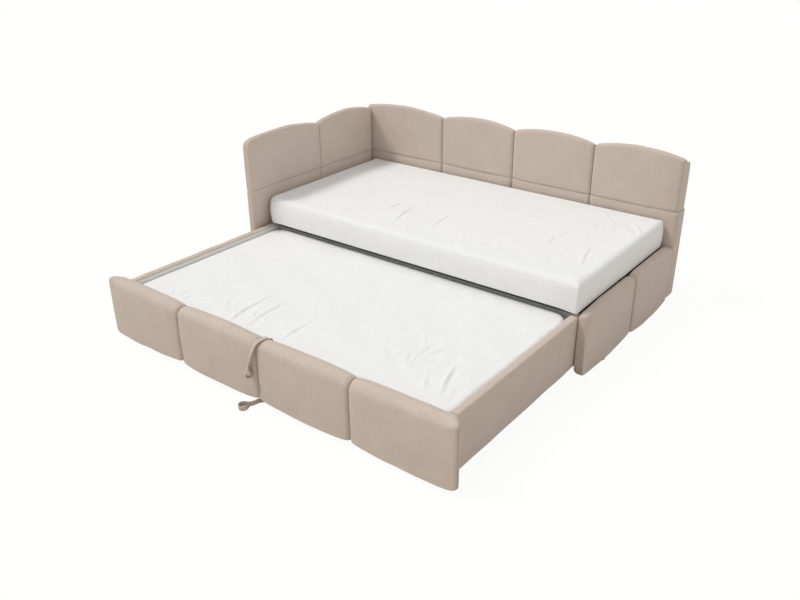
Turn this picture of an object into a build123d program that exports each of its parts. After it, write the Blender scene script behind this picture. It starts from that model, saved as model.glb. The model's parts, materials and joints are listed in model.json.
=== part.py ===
from build123d import *
import math
import os
from dataclasses import dataclass

# Upholstered daybed with a trundle drawn out at its front, in millimetres.
# X runs along the bed from the headboard to the low end panel, Y from front to back, Z up from the floor.
# The drawing origin is midway between headboard and end panel, in the end panel's front plane.

# Main mattress
mattress_length = 2000.0
mattress_width = 995.0
mattress_thickness = 148.0
mattress_overhang = 6.0
mattress_end_gap = 8.0
mattress_edge_radius = 36.0
mattress_crown = 16.0
mattress_side_draw = 22.0

# Upholstered panels
headboard_thickness = 54.0
headboard_nose = 92.0
headboard_valley_from_nose = 573.0
headboard_height = 847.0
back_thickness = 125.0
back_cushion_pitch = 505.0
back_cushion_count = 4
end_panel_thickness = 46.0
end_panel_height = 350.0
end_panel_floor_gap = 11.0
seam_height = 543.0
panel_floor_gap = 31.0
back_mattress_gap = 6.0

# Padding shape: crowns, drawn-in ends and edge radii
cushion_arch = 34.0
cushion_face_draw = 13.0
cushion_inner_draw = 7.0
cushion_face_bow = 5.0
cushion_top_bow = 7.0
cushion_edge_radius = 19.0
seam_edge_radius = 9.0
seam_scallop = 5.0
pad_hem_draw = 14.0
pad_hem_radius = 12.0
end_hem_draw = 24.0
end_top_draw = 17.0
fullness_power = 2.5
station_count = 12

# Core boards and their fittings
board_thickness = 18.0
back_core_thickness = 36.0
core_edge_cover = 16.0
core_floor_gap = 45.0
core_top_cover = 52.0
foot_radius = 18.0
foot_pad_height = 8.0
foot_stem_radius = 11.0
foot_edge_distance = 70.0
headboard_foot_count = 3
end_foot_count = 2
back_foot_count = 4
frame_bolt_radius = 4.0
frame_bolt_length = 130.0
frame_bolt_head_radius = 8.0
frame_bolt_head = 5.0
frame_bolt_edge_distance = 110.0
frame_bolt_count = 3

# Base of the main bed
slat_thickness = 8.0
slat_width = 68.0
slat_count = 17
slat_end_margin = 60.0
slat_screw_radius = 2.0
slat_screw_length = 9.0
rail_width = 30.0
rail_height = 20.0
rail_wall = 2.0
rail_setback = 36.0
rail_tab_thickness = 4.0
rail_tab_length = 52.0
angle_leg = 40.0
angle_reach = 58.0
angle_thickness = 3.0
angle_inset = 60.0
angle_bolt_radius = 3.0
angle_bolt_head_radius = 6.0
angle_bolt_head = 2.0
angle_bolt_length = 26.0
angle_bolt_count = 4
bracket_width = 50.0
bracket_count = 3
bracket_drop = 26.0

# Trundle
trundle_closed_gap = 6.0
trundle_panel_back = 970.0
trundle_panel_thickness = 92.0
trundle_panel_height = 342.0
trundle_panel_floor_gap = 19.0
trundle_top_radius = 34.0
trundle_bottom_radius = 8.0
trundle_end_taper = 60.0
trundle_cushion_count = 4
trundle_top_draw = 24.0
trundle_bottom_draw = 20.0
trundle_face_draw = 15.0
trundle_skin = 4.0
trundle_rear = 80.0
side_thickness = 42.0
side_height = 321.0
side_floor_gap = 56.0
side_skin = 12.0
side_edge_radius = 8.0
side_core_top_cover = 12.0
lining_thickness = 3.0
lining_top_drop = 10.0
rear_rail_thickness = 20.0
rear_rail_top = 300.0
rear_rail_inset = 4.0
rear_rail_edge_radius = 1.2
bearer_width = 40.0
bearer_height = 60.0
bearer_edge_distance = 130.0
bearer_count = 3
rear_rail_screw_count = 2
trundle_slat_thickness = 18.0
trundle_slat_width = 80.0
trundle_slat_count = 14
trundle_mattress_width = 995.0
trundle_mattress_length = 1900.0
trundle_mattress_top = 304.0
trundle_mattress_front_gap = 12.0
trundle_mattress_radius = 28.0
trundle_mattress_crown = 10.0
trundle_mattress_corner = 48.0
trundle_screw_radius = 2.5
trundle_screw_length = 40.0
trundle_screw_head_radius = 5.0
trundle_screw_head = 3.0

# Castors
wheel_radius = 25.0
wheel_width = 22.0
wheel_hub_radius = 11.0
wheel_tread_radius = 3.0
wheel_groove = 3.0
axle_radius = 4.0
axle_running_gap = 0.05
axle_head_radius = 7.0
axle_head = 2.0
castor_plate_length = 64.0
castor_plate_width = 38.0
castor_plate_thickness = 3.0
castor_ear_width = 26.0
castor_ear_gap = 2.0
castor_end_distance = 195.0
castors_per_row = 3
castor_wheel_room = 13.0

# Pull straps of webbing
strap_width = 25.0
strap_thickness = 2.4
strap_turn = 40.0
strap_tail = 58.0
strap_clear_top = 9.0
strap_back_radius = 12.0
strap_front_radius = 30.0
strap_hang = 128.0
strap_loop_length = 58.0
strap_loop_radius = 15.0
strap_loop_heading = -68.0
strap_lead = 31.0
strap_root_length = 8.0
strap_root_thickness = 2.0
strap_turn_offset = 40.0
lift_finger_share = 0.46
pull_finger_share = 0.6
strap_lead_radius = 90.0
strap_lead_turn = 38.0
strap_ring_radius = 21.0
strap_ring_length = 58.0

# Clearances
soft_gap = 0.3
fit_gap = 0.3
overrun = 20.0

# Places worked out from the sizes above
half_clear = mattress_length / 2 + mattress_end_gap
headboard_in = -half_clear
headboard_out = headboard_in - headboard_thickness
end_in = half_clear
end_out = end_in + end_panel_thickness
back_in = mattress_width - mattress_overhang + back_mattress_gap
back_out = back_in + back_thickness
side_out = mattress_length / 2
angle_bottom = side_height + angle_thickness
tab_bottom = angle_bottom + angle_thickness
rail_top = tab_bottom + rail_tab_thickness
rail_bottom = rail_top - rail_height
slat_top = rail_top + slat_thickness
panel_front = -trundle_panel_back - trundle_panel_thickness
bearer_bottom = 2 * wheel_radius + castor_wheel_room + castor_plate_thickness
bearer_top = bearer_bottom + bearer_height
lining_in = side_out - side_thickness - soft_gap - lining_thickness
rear_rail_back = trundle_rear - rear_rail_inset
rear_rail_front = rear_rail_back - rear_rail_thickness
front_board_back = -trundle_panel_back - trundle_skin
trundle_travel = trundle_panel_back - headboard_nose - trundle_closed_gap


@dataclass
class Block:
    """A straight-sided space from its low corner to its high corner."""

    low: tuple
    high: tuple

    def solid(self, grow=0.0):
        """The block as a box, grown by a clearance on every side."""
        size = [high - low + 2 * grow for low, high in zip(self.low, self.high)]
        middle = [(high + low) / 2 for low, high in zip(self.low, self.high)]
        return Pos(*middle) * Box(*size)


def fullness(share):
    """How full a cushion is at a share of its length, from 0 at a valley to 1 at the crown."""
    return (1 - abs(2 * share - 1) ** fullness_power) ** (1 / fullness_power)


@dataclass
class Padding:
    """A stuffed block along X: crowned faces, ends drawn in to the valleys, round edges."""

    start: float
    end: float
    front: float
    back: float
    bottom: float
    top: float
    front_draw: float = cushion_face_draw
    back_draw: float = cushion_face_draw
    bottom_draw: float = 0.0
    top_draw: float = 0.0
    front_bow: float = cushion_face_bow
    back_bow: float = cushion_face_bow
    bottom_bow: float = 0.0
    top_bow: float = 0.0
    bottom_radius: float = seam_edge_radius
    top_radius: float = seam_edge_radius

    def outline(self, share):
        """The closed outline across the block at a share of its length."""
        x = self.start + (self.end - self.start) * share
        thin = 1 - fullness(share)
        front = self.front + self.front_draw * thin
        back = self.back - self.back_draw * thin
        bottom = self.bottom + self.bottom_draw * thin
        top = self.top - self.top_draw * thin
        face, rear = front + self.front_bow, back - self.back_bow
        sill, crest = bottom + self.bottom_bow, top - self.top_bow
        middle_y, middle_z = (front + back) / 2, (sill + crest) / 2
        low, high = self.bottom_radius, self.top_radius
        cut_low, cut_high = (radius * (1 - math.sqrt(0.5)) for radius in (low, high))

        def side(start, through, finish, bowed):
            if bowed:
                return Edge.make_three_point_arc((x, *start), (x, *through), (x, *finish))
            return Edge.make_line((x, *start), (x, *finish))

        edges = [
            side((face, sill + low), (front, middle_z), (face, crest - high), self.front_bow),
            side((face, crest - high), (face + cut_high, crest - cut_high), (face + high, crest), True),
            side((face + high, crest), (middle_y, top), (rear - high, crest), self.top_bow),
            side((rear - high, crest), (rear - cut_high, crest - cut_high), (rear, crest - high), True),
            side((rear, crest - high), (back, middle_z), (rear, sill + low), self.back_bow),
            side((rear, sill + low), (rear - cut_low, sill + cut_low), (rear - low, sill), True),
            side((rear - low, sill), (middle_y, bottom), (face + low, sill), self.bottom_bow),
            side((face + low, sill), (face + cut_low, sill + cut_low), (face, sill + low), True),
        ]
        return Wire(edges)

    def solid(self):
        """The block as one smooth loft through its outlines, which stand closer at the ends."""
        shares = [(1 - math.cos(math.pi * i / station_count)) / 2 for i in range(station_count + 1)]
        return Solid.make_loft([self.outline(share) for share in shares])


def across(padding):
    """A padding drawn along X with its front at low Y, turned to run along Y with its front at high X."""
    return Rot(0, 0, 90) * padding.solid()


def cylinder_between(start, end, radius):
    """A round bar from one point to another."""
    direction = Vector(*end) - Vector(*start)
    return Solid.make_cylinder(radius, direction.length, Plane(origin=start, z_dir=direction))


def bolt_between(start, end, radius, head_radius, head):
    """A bolt whose head's seat is at the start and whose shank runs to the end."""
    direction = (Vector(*end) - Vector(*start)).normalized()
    crown = Vector(*start) - direction * head
    shank = cylinder_between(start, end, radius)
    return shank + cylinder_between(tuple(crown), start, head_radius)


def spread(first, last, count):
    """Evenly spaced places from first to last."""
    return [first + (last - first) * i / (count - 1) for i in range(count)]


# Core boards
core_top = headboard_height - core_top_cover
headboard_middle = (headboard_in + headboard_out) / 2
end_middle = (end_in + end_out) / 2
back_middle = (back_in + back_out) / 2
back_core_front = back_middle - back_core_thickness / 2
back_core = Block(
    (headboard_out + core_edge_cover, back_core_front, core_floor_gap),
    (end_out - core_edge_cover, back_core_front + back_core_thickness, core_top),
)
headboard_core = Block(
    (headboard_middle - board_thickness / 2, core_edge_cover - headboard_nose, core_floor_gap),
    (headboard_middle + board_thickness / 2, back_core_front - fit_gap, core_top),
)
end_core = Block(
    (end_middle - board_thickness / 2, core_edge_cover, core_floor_gap),
    (end_middle + board_thickness / 2, back_core_front - fit_gap, end_panel_height - core_top_cover),
)
cores = (headboard_core, back_core, end_core)


def foot_places():
    """Where the feet stand: along the headboard, under the middle of each end pad and along the back."""
    near, far = headboard_core.low[1] + foot_edge_distance, back_in - foot_edge_distance
    places = [(headboard_middle, y) for y in spread(near, far, headboard_foot_count)]
    pad_length = back_in / end_foot_count
    places += [(end_middle, pad_length * (number + 0.5)) for number in range(end_foot_count)]
    first, last = back_core.low[0] + foot_edge_distance, back_core.high[0] - foot_edge_distance
    for x in spread(first, last, back_foot_count):
        places.append((x, back_middle))
    return places


def foot(x, y):
    """A glide foot: a low round pad on a stem that stops at the core board."""
    pad = Pos(x, y, foot_pad_height / 2) * Cylinder(foot_radius, foot_pad_height)
    pad = fillet(pad.edges().group_by(Axis.Z)[-1], foot_pad_height / 4)
    return pad + cylinder_between((x, y, 0), (x, y, core_floor_gap), foot_stem_radius)


def foot_hole(x, y):
    """The room that a foot's stem takes in the padding above it."""
    return cylinder_between((x, y, -overrun), (x, y, core_floor_gap), foot_stem_radius + fit_gap)


def frame_bolts():
    """Long bolts from behind the back core into the ends of the headboard and end cores."""
    bolts = []
    for core in (headboard_core, end_core):
        x = (core.low[0] + core.high[0]) / 2
        low, high = core.low[2] + frame_bolt_edge_distance, core.high[2] - frame_bolt_edge_distance / 2
        for z in spread(low, high, frame_bolt_count):
            seat = (x, back_core.high[1] + fit_gap, z)
            tip = (x, back_core.high[1] - frame_bolt_length, z)
            bolts.append((seat, tip))
    return bolts


def angle_bolts():
    """Short bolts through each steel angle into the core board behind it."""
    bolts = []
    for side, inner in ((-1, headboard_in), (1, end_in)):
        face = inner - side * (soft_gap + angle_thickness)
        z = tab_bottom - angle_leg / 2
        first, last = angle_inset + angle_leg, back_in - angle_inset - angle_leg
        for y in spread(first, last, angle_bolt_count):
            bolts.append(((face - side * fit_gap, y, z), (face + side * angle_bolt_length, y, z)))
    return bolts


def shank_holes(bolts, radius):
    """The clearance holes along a list of bolts."""
    return [cylinder_between(start, end, radius + fit_gap) for start, end in bolts]


def head_rooms(bolts, head_radius, head):
    """The rooms that the heads of a list of bolts take, seat included."""
    rooms = []
    for start, end in bolts:
        direction = (Vector(*end) - Vector(*start)).normalized()
        outer = Vector(*start) - direction * (head + overrun)
        rooms.append(cylinder_between(tuple(outer), start, head_radius + fit_gap))
    return rooms


panel_cuts = [core.solid(soft_gap) for core in cores]
panel_cuts += [foot_hole(x, y) for x, y in foot_places()]
panel_cuts += shank_holes(frame_bolts(), frame_bolt_radius)
panel_cuts += head_rooms(frame_bolts(), frame_bolt_head_radius, frame_bolt_head)
panel_cuts += shank_holes(angle_bolts(), angle_bolt_radius)


def without(solid, cuts):
    """A solid less every cut whose box meets its own."""
    box = solid.bounding_box()
    for cut in cuts:
        other = cut.bounding_box()
        apart = any(
            getattr(box.min, axis) > getattr(other.max, axis)
            or getattr(other.min, axis) > getattr(box.max, axis)
            for axis in "XYZ"
        )
        if not apart:
            solid = solid - cut
    return solid


def headboard_padding():
    """Two upper cushions and two lower pads, from the nose to the back panel."""
    valley = headboard_valley_from_nose - headboard_nose
    spans = {
        "front": (-headboard_nose, valley - soft_gap / 2),
        "rear": (valley + soft_gap / 2, back_in - soft_gap),
    }
    parts = {}
    for name, (start, end) in spans.items():
        upper = Padding(
            start, end, -headboard_in, -headboard_out, seam_height, headboard_height,
            front_draw=cushion_inner_draw, back_draw=cushion_face_draw,
            bottom_draw=seam_scallop, top_draw=cushion_arch,
            front_bow=cushion_face_bow, back_bow=cushion_face_bow, top_bow=cushion_top_bow,
            top_radius=cushion_edge_radius,
        )
        lower = Padding(
            start, end, -headboard_in, -headboard_out, panel_floor_gap, seam_height - soft_gap,
            front_draw=0.0, back_draw=cushion_face_draw,
            bottom_draw=pad_hem_draw, top_draw=-seam_scallop, front_bow=0.0,
            bottom_radius=pad_hem_radius,
        )
        parts["headboard_cushion_" + name] = across(upper)
        parts["headboard_pad_" + name] = across(lower)
    return parts


def back_padding():
    """Four upper cushions and four lower pads along the back, the first one longer."""
    valleys = [end_out - back_cushion_pitch * k for k in range(back_cushion_count)][::-1]
    starts = [headboard_out] + valleys[:-1]
    parts = {}
    for number, (start, end) in enumerate(zip(starts, valleys), 1):
        upper = Padding(
            start + soft_gap / 2, end - soft_gap / 2, back_in, back_out, seam_height, headboard_height,
            front_draw=cushion_face_draw, back_draw=cushion_face_draw,
            bottom_draw=seam_scallop, top_draw=cushion_arch, top_bow=cushion_top_bow,
            top_radius=cushion_edge_radius,
        )
        lower = Padding(
            start + soft_gap / 2, end - soft_gap / 2, back_in, back_out,
            panel_floor_gap, seam_height - soft_gap,
            front_draw=0.0, back_draw=cushion_face_draw,
            bottom_draw=pad_hem_draw, top_draw=-seam_scallop, front_bow=0.0,
            bottom_radius=pad_hem_radius,
        )
        parts["back_cushion_%d" % number] = upper.solid()
        parts["back_pad_%d" % number] = lower.solid()
    return parts


def end_padding():
    """Two pads of the low end panel."""
    middle = (back_in - soft_gap) / 2
    spans = {"front": (0.0, middle - soft_gap / 2), "rear": (middle + soft_gap / 2, back_in - soft_gap)}
    parts = {}
    for name, (start, end) in spans.items():
        pad = Padding(
            start, end, -end_out, -end_in, end_panel_floor_gap, end_panel_height,
            front_draw=cushion_face_draw, back_draw=0.0,
            bottom_draw=end_hem_draw, top_draw=end_top_draw, back_bow=0.0, top_bow=seam_edge_radius / 2,
            bottom_bow=seam_edge_radius / 2, bottom_radius=pad_hem_radius, top_radius=pad_hem_radius,
        )
        parts["end_pad_" + name] = across(pad)
    return parts


def support_angle(side, inner):
    """A steel angle along an end panel: one leg down its face, one leg inwards under the rail tabs."""
    outer = inner - side * soft_gap
    edges = sorted((outer, outer - side * angle_thickness))
    reach = sorted((outer, outer - side * angle_reach))
    near, far = angle_inset, back_in - angle_inset
    upright = Block((edges[0], near, tab_bottom - angle_leg), (edges[1], far, tab_bottom))
    shelf = Block((reach[0], near, angle_bottom), (reach[1], far, tab_bottom))
    angle = upright.solid() + shelf.solid()
    for hole in shank_holes(angle_bolts(), angle_bolt_radius):
        angle = angle - hole
    return angle


def frame_rail(y):
    """A rectangular steel tube along X with a flat tab welded into each end."""
    tube_half = side_out - rail_tab_length
    outer = Block((-tube_half, y, rail_bottom), (tube_half, y + rail_width, rail_top))
    inner = Block(
        (-tube_half - overrun, y + rail_wall, rail_bottom + rail_wall),
        (tube_half + overrun, y + rail_width - rail_wall, rail_top - rail_wall),
    )
    rail = outer.solid() - inner.solid()
    for side in (-1, 1):
        span = sorted((side * (tube_half - rail_wall), side * side_out))
        rail = rail + Block((span[0], y, tab_bottom), (span[1], y + rail_width, rail_top)).solid()
    return rail


rail_places = {
    "frame_front_rail": rail_setback,
    "frame_middle_rail": (rail_setback + back_in - bracket_width) / 2 - rail_width / 2,
    "frame_rear_rail": back_in - bracket_width,
}


def back_brackets():
    """Steel brackets on the back panel with a foot under the rear rail."""
    solids = []
    reach = rail_places["frame_rear_rail"]
    for x in spread(-side_out / 2, side_out / 2, bracket_count):
        plate = Block(
            (x - bracket_width / 2, back_in - soft_gap - angle_thickness, rail_bottom - angle_thickness),
            (x + bracket_width / 2, back_in - soft_gap, rail_bottom + bracket_drop),
        )
        ledge = Block(
            (x - bracket_width / 2, reach, rail_bottom - angle_thickness),
            (x + bracket_width / 2, back_in - soft_gap, rail_bottom),
        )
        solids.append(plate.solid() + ledge.solid())
    return solids


def slat_places():
    """The middle of each slat along the bed."""
    reach = side_out - slat_end_margin - slat_width / 2
    return spread(-reach, reach, slat_count)


def slat_screws():
    """One screw at each end of each slat, down into the front and rear rails."""
    screws = []
    for x in slat_places():
        for rail in ("frame_front_rail", "frame_rear_rail"):
            y = rail_places[rail] + rail_width / 2
            screws.append(((x, y, slat_top), (x, y, slat_top - slat_screw_length)))
    return screws


def slats():
    """Thin slats across the rails, drilled for their screws."""
    front, rear = rail_places["frame_front_rail"], rail_places["frame_rear_rail"] + rail_width
    solids = []
    for x in slat_places():
        slat = Block((x - slat_width / 2, front, rail_top), (x + slat_width / 2, rear, slat_top)).solid()
        slat = fillet(slat.edges().filter_by(Axis.Y), slat_thickness / 4)
        solids.append(without(slat, shank_holes(slat_screws(), slat_screw_radius)))
    return solids


def main_mattress():
    """The main mattress, flat below, crowned above, with drawn-in corners."""
    return Padding(
        -side_out, side_out, -mattress_overhang, mattress_width - mattress_overhang,
        slat_top + soft_gap, slat_top + mattress_thickness,
        front_draw=mattress_side_draw, back_draw=mattress_side_draw, top_draw=mattress_side_draw,
        top_bow=mattress_crown, bottom_radius=mattress_edge_radius / 3, top_radius=mattress_edge_radius,
    ).solid()


# Trundle
front_board = Block(
    (-side_out, front_board_back - board_thickness, core_floor_gap + core_edge_cover),
    (side_out, front_board_back, trundle_panel_height - trundle_top_draw - 2 * trundle_top_radius),
)
bearer_places = spread(
    -trundle_panel_back + bearer_edge_distance, rear_rail_front - bearer_edge_distance, bearer_count
)


def end_wedge(side, end):
    """The wedge off an outer end of the front panel, which narrows back to the side board."""
    back, outer = -trundle_panel_back, end + side * overrun
    corners = [
        (end, back - trundle_end_taper), (outer, back - trundle_end_taper), (outer, back + overrun),
        (side * side_out, back + overrun), (side * side_out, back),
    ]
    face = make_face(Polyline(*corners, close=True))
    return extrude(face, trundle_panel_height + overrun, dir=(0, 0, 1))


def trundle_cushions():
    """Four cushions of the trundle's front panel, wrapped round its board."""
    edges = spread(headboard_out, end_out, trundle_cushion_count + 1)
    cuts = [front_board.solid(soft_gap), end_wedge(-1, headboard_out), end_wedge(1, end_out)]
    parts = {}
    for number, (start, end) in enumerate(zip(edges, edges[1:]), 1):
        cushion = Padding(
            start + soft_gap / 2, end - soft_gap / 2, panel_front, -trundle_panel_back,
            trundle_panel_floor_gap, trundle_panel_height,
            front_draw=trundle_face_draw, back_draw=0.0,
            bottom_draw=trundle_bottom_draw, top_draw=trundle_top_draw,
            front_bow=cushion_face_bow, back_bow=0.0, top_bow=cushion_top_bow,
            bottom_bow=cushion_top_bow / 2,
            bottom_radius=trundle_bottom_radius, top_radius=trundle_top_radius,
        )
        parts["trundle_cushion_%d" % number] = without(cushion.solid(), cuts)
    return parts


def side_core(side):
    """The board inside one side of the trundle."""
    outer = side * (side_out - side_skin)
    span = sorted((outer, outer - side * board_thickness))
    return Block(
        (span[0], -trundle_panel_back + soft_gap, side_floor_gap + fit_gap),
        (span[1], trundle_rear - fit_gap, side_height - side_core_top_cover),
    )


def side_cover(side):
    """The padded cover over one side board, open below, with round top edges."""
    span = sorted((side * side_out, side * (side_out - side_thickness)))
    block = Block(
        (span[0], -trundle_panel_back + soft_gap, side_floor_gap), (span[1], trundle_rear, side_height)
    ).solid()
    top = block.edges().filter_by(Axis.Y).group_by(Axis.Z)[-1]
    cover = fillet(top, side_edge_radius)
    core = side_core(side)
    slot = Block(
        (core.low[0], core.low[1] - overrun, core.low[2] - overrun),
        (core.high[0], core.high[1], core.high[2]),
    )
    return cover - slot.solid(fit_gap)


def side_lining(side):
    """The thin white board that lines one side of the trundle."""
    span = sorted((side * lining_in, side * (lining_in + lining_thickness)))
    return Block(
        (span[0], -trundle_panel_back + soft_gap, side_floor_gap + soft_gap),
        (span[1], trundle_rear, side_height - lining_top_drop),
    ).solid()


def rear_rail():
    """The bare board that closes the trundle behind."""
    half = lining_in - fit_gap
    rail = Block(
        (-half, rear_rail_front, side_floor_gap + soft_gap), (half, rear_rail_back, rear_rail_top)
    ).solid()
    return fillet(rail.edges().filter_by(Axis.X).group_by(Axis.Z)[-1], rear_rail_edge_radius)


def castor_places():
    """The middle of each castor: three along the front bearer and three along the rear one."""
    reach = side_out - castor_end_distance
    xs = spread(-reach, reach, castors_per_row)
    return [(x, y) for y in (bearer_places[0], bearer_places[-1]) for x in xs]


def trundle_bearers():
    """Three timber bearers across the trundle, under its slats."""
    half = lining_in - fit_gap
    return [
        Block((-half, y - bearer_width / 2, bearer_bottom), (half, y + bearer_width / 2, bearer_top)).solid()
        for y in bearer_places
    ]


def trundle_slats():
    """Wide slats from the front panel to the rear rail."""
    reach = lining_in - trundle_slat_width
    solids = []
    for x in spread(-reach, reach, trundle_slat_count):
        slat = Block(
            (x - trundle_slat_width / 2, -trundle_panel_back + fit_gap, bearer_top),
            (x + trundle_slat_width / 2, rear_rail_front - fit_gap, bearer_top + trundle_slat_thickness),
        ).solid()
        solids.append(fillet(slat.edges().filter_by(Axis.Y), trundle_slat_thickness / 6))
    return solids


def trundle_screws():
    """Screws through each side board into the ends of the bearers and the rear rail."""
    screws = []
    for side in (-1, 1):
        face = side_core(side).high[0] if side > 0 else side_core(side).low[0]
        seat_x = face - side * trundle_screw_head
        places = [(y, (bearer_bottom + bearer_top) / 2) for y in bearer_places]
        middle = (rear_rail_front + rear_rail_back) / 2
        places += [(middle, z) for z in spread(bearer_top, rear_rail_top - bearer_width, rear_rail_screw_count)]
        for y, z in places:
            screws.append(((seat_x, y, z), (seat_x - side * trundle_screw_length, y, z)))
    return screws


def trundle_mattress():
    """The trundle's mattress, with corners rounded in plan."""
    front = -trundle_panel_back + trundle_mattress_front_gap
    half = trundle_mattress_length / 2
    return Padding(
        -half, half, front, front + trundle_mattress_width,
        bearer_top + trundle_slat_thickness + soft_gap, trundle_mattress_top,
        front_draw=trundle_mattress_corner, back_draw=trundle_mattress_corner,
        top_draw=trundle_mattress_radius / 2, top_bow=trundle_mattress_crown,
        bottom_radius=trundle_mattress_radius / 2, top_radius=trundle_mattress_radius,
    ).solid()


# Castors
ear_offset = wheel_width / 2 + castor_ear_gap
axle_half = ear_offset + castor_plate_thickness


def castor_bracket(x, y):
    """A folded steel fork: a plate under the bearer and two ears beside the wheel."""
    plate = Block(
        (x - castor_plate_length / 2, y - castor_plate_width / 2, bearer_bottom - castor_plate_thickness),
        (x + castor_plate_length / 2, y + castor_plate_width / 2, bearer_bottom),
    ).solid()
    bracket = plate
    for side in (-1, 1):
        span = sorted((x + side * ear_offset, x + side * axle_half))
        ear = Block(
            (span[0], y - castor_ear_width / 2, wheel_radius),
            (span[1], y + castor_ear_width / 2, bearer_bottom),
        ).solid()
        cheek = cylinder_between(
            (span[0], y, wheel_radius), (span[1], y, wheel_radius), castor_ear_width / 2
        )
        bracket = bracket + ear + cheek
    bore = cylinder_between((x - castor_plate_length, y, wheel_radius),
                            (x + castor_plate_length, y, wheel_radius), axle_radius + axle_running_gap)
    return bracket - bore


def castor_axle(x, y):
    """A headed axle pin through both ears."""
    pin = cylinder_between((x - axle_half, y, wheel_radius), (x + axle_half, y, wheel_radius), axle_radius)
    for side in (-1, 1):
        seat = x + side * axle_half
        pin = pin + cylinder_between(
            (seat, y, wheel_radius), (seat + side * axle_head, y, wheel_radius), axle_head_radius
        )
    return pin


def castor_wheel(x, y):
    """A turned wheel with a round tread, a shallow ring on each face and a running bore."""
    half = wheel_width / 2
    rim = wheel_radius - wheel_tread_radius
    dish = wheel_groove / 2
    profile = Polyline(
        (-half, axle_radius + axle_running_gap), (-half, wheel_hub_radius),
        (dish - half, wheel_hub_radius + dish), (dish - half, rim - wheel_groove),
        (-half, rim), (wheel_tread_radius - half, wheel_radius), (half - wheel_tread_radius, wheel_radius),
        (half, rim), (half - dish, rim - wheel_groove), (half - dish, wheel_hub_radius + dish),
        (half, wheel_hub_radius), (half, axle_radius + axle_running_gap), close=True,
    )
    wheel = revolve(make_face(profile), Axis.X)
    return Pos(x, y, wheel_radius) * wheel


# Straps
def heading_vector(heading):
    """A unit vector in the drawing plane of a strap, from its heading in degrees."""
    return Vector(math.cos(math.radians(heading)), math.sin(math.radians(heading)))


def loop_outline(neck, heading, length, radius):
    """A teardrop loop that leaves its neck along a heading and comes back to it."""
    along = heading_vector(heading)
    aside = Vector(-along.Y, along.X)
    middle = neck + along * (length - radius)
    lean = math.acos(radius / (length - radius))
    back_step, side_step = along * (radius * math.cos(lean)), aside * (radius * math.sin(lean))
    left, right = middle - back_step + side_step, middle - back_step - side_step
    return [Line(neck, left), ThreePointArc(left, middle + along * radius, right), Line(right, neck)]


def ribbon(edges):
    """A flat face as thick as the webbing along a run of edges, rounded at the joints."""
    face = Sketch()
    for edge in edges:
        face = face + trace(edge, strap_thickness)
        for joint in (edge @ 0, edge @ 1):
            face = face + Pos(joint.X, joint.Y) * Circle(strap_thickness / 2)
    return face


# The lift strap lies in an upright plane, turned so that its edge shows at the front corner.
lift_top = trundle_panel_height + strap_clear_top
lift_reach = trundle_panel_thickness / math.cos(math.radians(strap_turn)) + strap_width
lift_neck = Vector(lift_reach, lift_top - strap_hang)
lift_half_width = strap_width * math.sin(math.radians(strap_turn)) / 2
lift_half_thickness = strap_thickness * math.cos(math.radians(strap_turn)) / 2
lift_tail_y = -trundle_panel_back + soft_gap + lift_half_width + lift_half_thickness
lift_tail_x = strap_turn_offset


def lift_place(point):
    """Where a point of the lift strap's own plane lies in the bed."""
    away = heading_vector(-90 - strap_turn) * point.X
    return Vector(lift_tail_x + away.X, lift_tail_y + away.Y, point.Y)


def lift_strap():
    """The strap over the trundle's front panel: tail, two bends, a hanging run and a loop."""
    tail_top = lift_top - strap_back_radius
    tail = Line((0, tail_top - strap_tail), (0, tail_top))
    back_bend = JernArc(tail @ 1, (0, 1), strap_back_radius, -90)
    flat = Line(back_bend @ 1, (lift_reach - strap_front_radius, lift_top))
    front_bend = JernArc(flat @ 1, (1, 0), strap_front_radius, -90)
    drop = Line(front_bend @ 1, lift_neck)
    loop = loop_outline(lift_neck, strap_loop_heading, strap_loop_length, strap_loop_radius)
    face = ribbon([tail, back_bend, flat, front_bend, drop] + loop)
    strap = Rot(90, 0, 0) * extrude(face, strap_width / 2, both=True)
    return Pos(lift_tail_x, lift_tail_y, 0) * Rot(0, 0, -90 - strap_turn) * strap


pull_root = Vector((headboard_out + end_out) / 2, panel_front + trundle_panel_thickness / 2)
pull_heading = -90 - strap_lead_turn
pull_loop_heading = pull_heading + strap_lead_turn / 2
pull_lead = JernArc((pull_root.X, pull_root.Y), (0, -1), strap_lead_radius, -strap_lead_turn)
pull_neck = pull_lead @ 1 + heading_vector(pull_heading) * strap_lead


def pull_strap():
    """The strap under the front panel: it stands on edge on the floor and ends in a ring."""
    run = Line(pull_lead @ 1, pull_neck)
    loop = loop_outline(pull_neck, pull_loop_heading, strap_ring_length, strap_ring_radius)
    band = extrude(ribbon([pull_lead, run] + loop), strap_width)
    root_height = trundle_panel_floor_gap + trundle_bottom_draw - strap_root_thickness / 2
    sewn = Block(
        (pull_root.X - strap_root_thickness / 2, pull_root.Y - strap_root_length, strap_width / 2),
        (pull_root.X + strap_root_thickness / 2, pull_root.Y, root_height),
    )
    return band + sewn.solid()


def loop_boxes():
    """The finger room inside each strap's loop, as its low and high corner."""
    lift_middle = lift_place(
        lift_neck + heading_vector(strap_loop_heading) * (strap_loop_length - strap_loop_radius)
    )
    pull_middle = pull_neck + heading_vector(pull_loop_heading) * (strap_ring_length - strap_ring_radius)
    lift_half = strap_loop_radius * lift_finger_share
    pull_half = strap_ring_radius * pull_finger_share
    return {
        "lift_strap_loop": (
            (lift_middle.X - lift_half, lift_middle.Y - lift_half, lift_middle.Z - lift_half),
            (lift_middle.X + lift_half, lift_middle.Y + lift_half, lift_middle.Z + lift_half),
        ),
        "pull_strap_loop": (
            (pull_middle.X - pull_half, pull_middle.Y - pull_half, -strap_thickness),
            (pull_middle.X + pull_half, pull_middle.Y + pull_half, strap_width + strap_thickness),
        ),
    }


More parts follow.
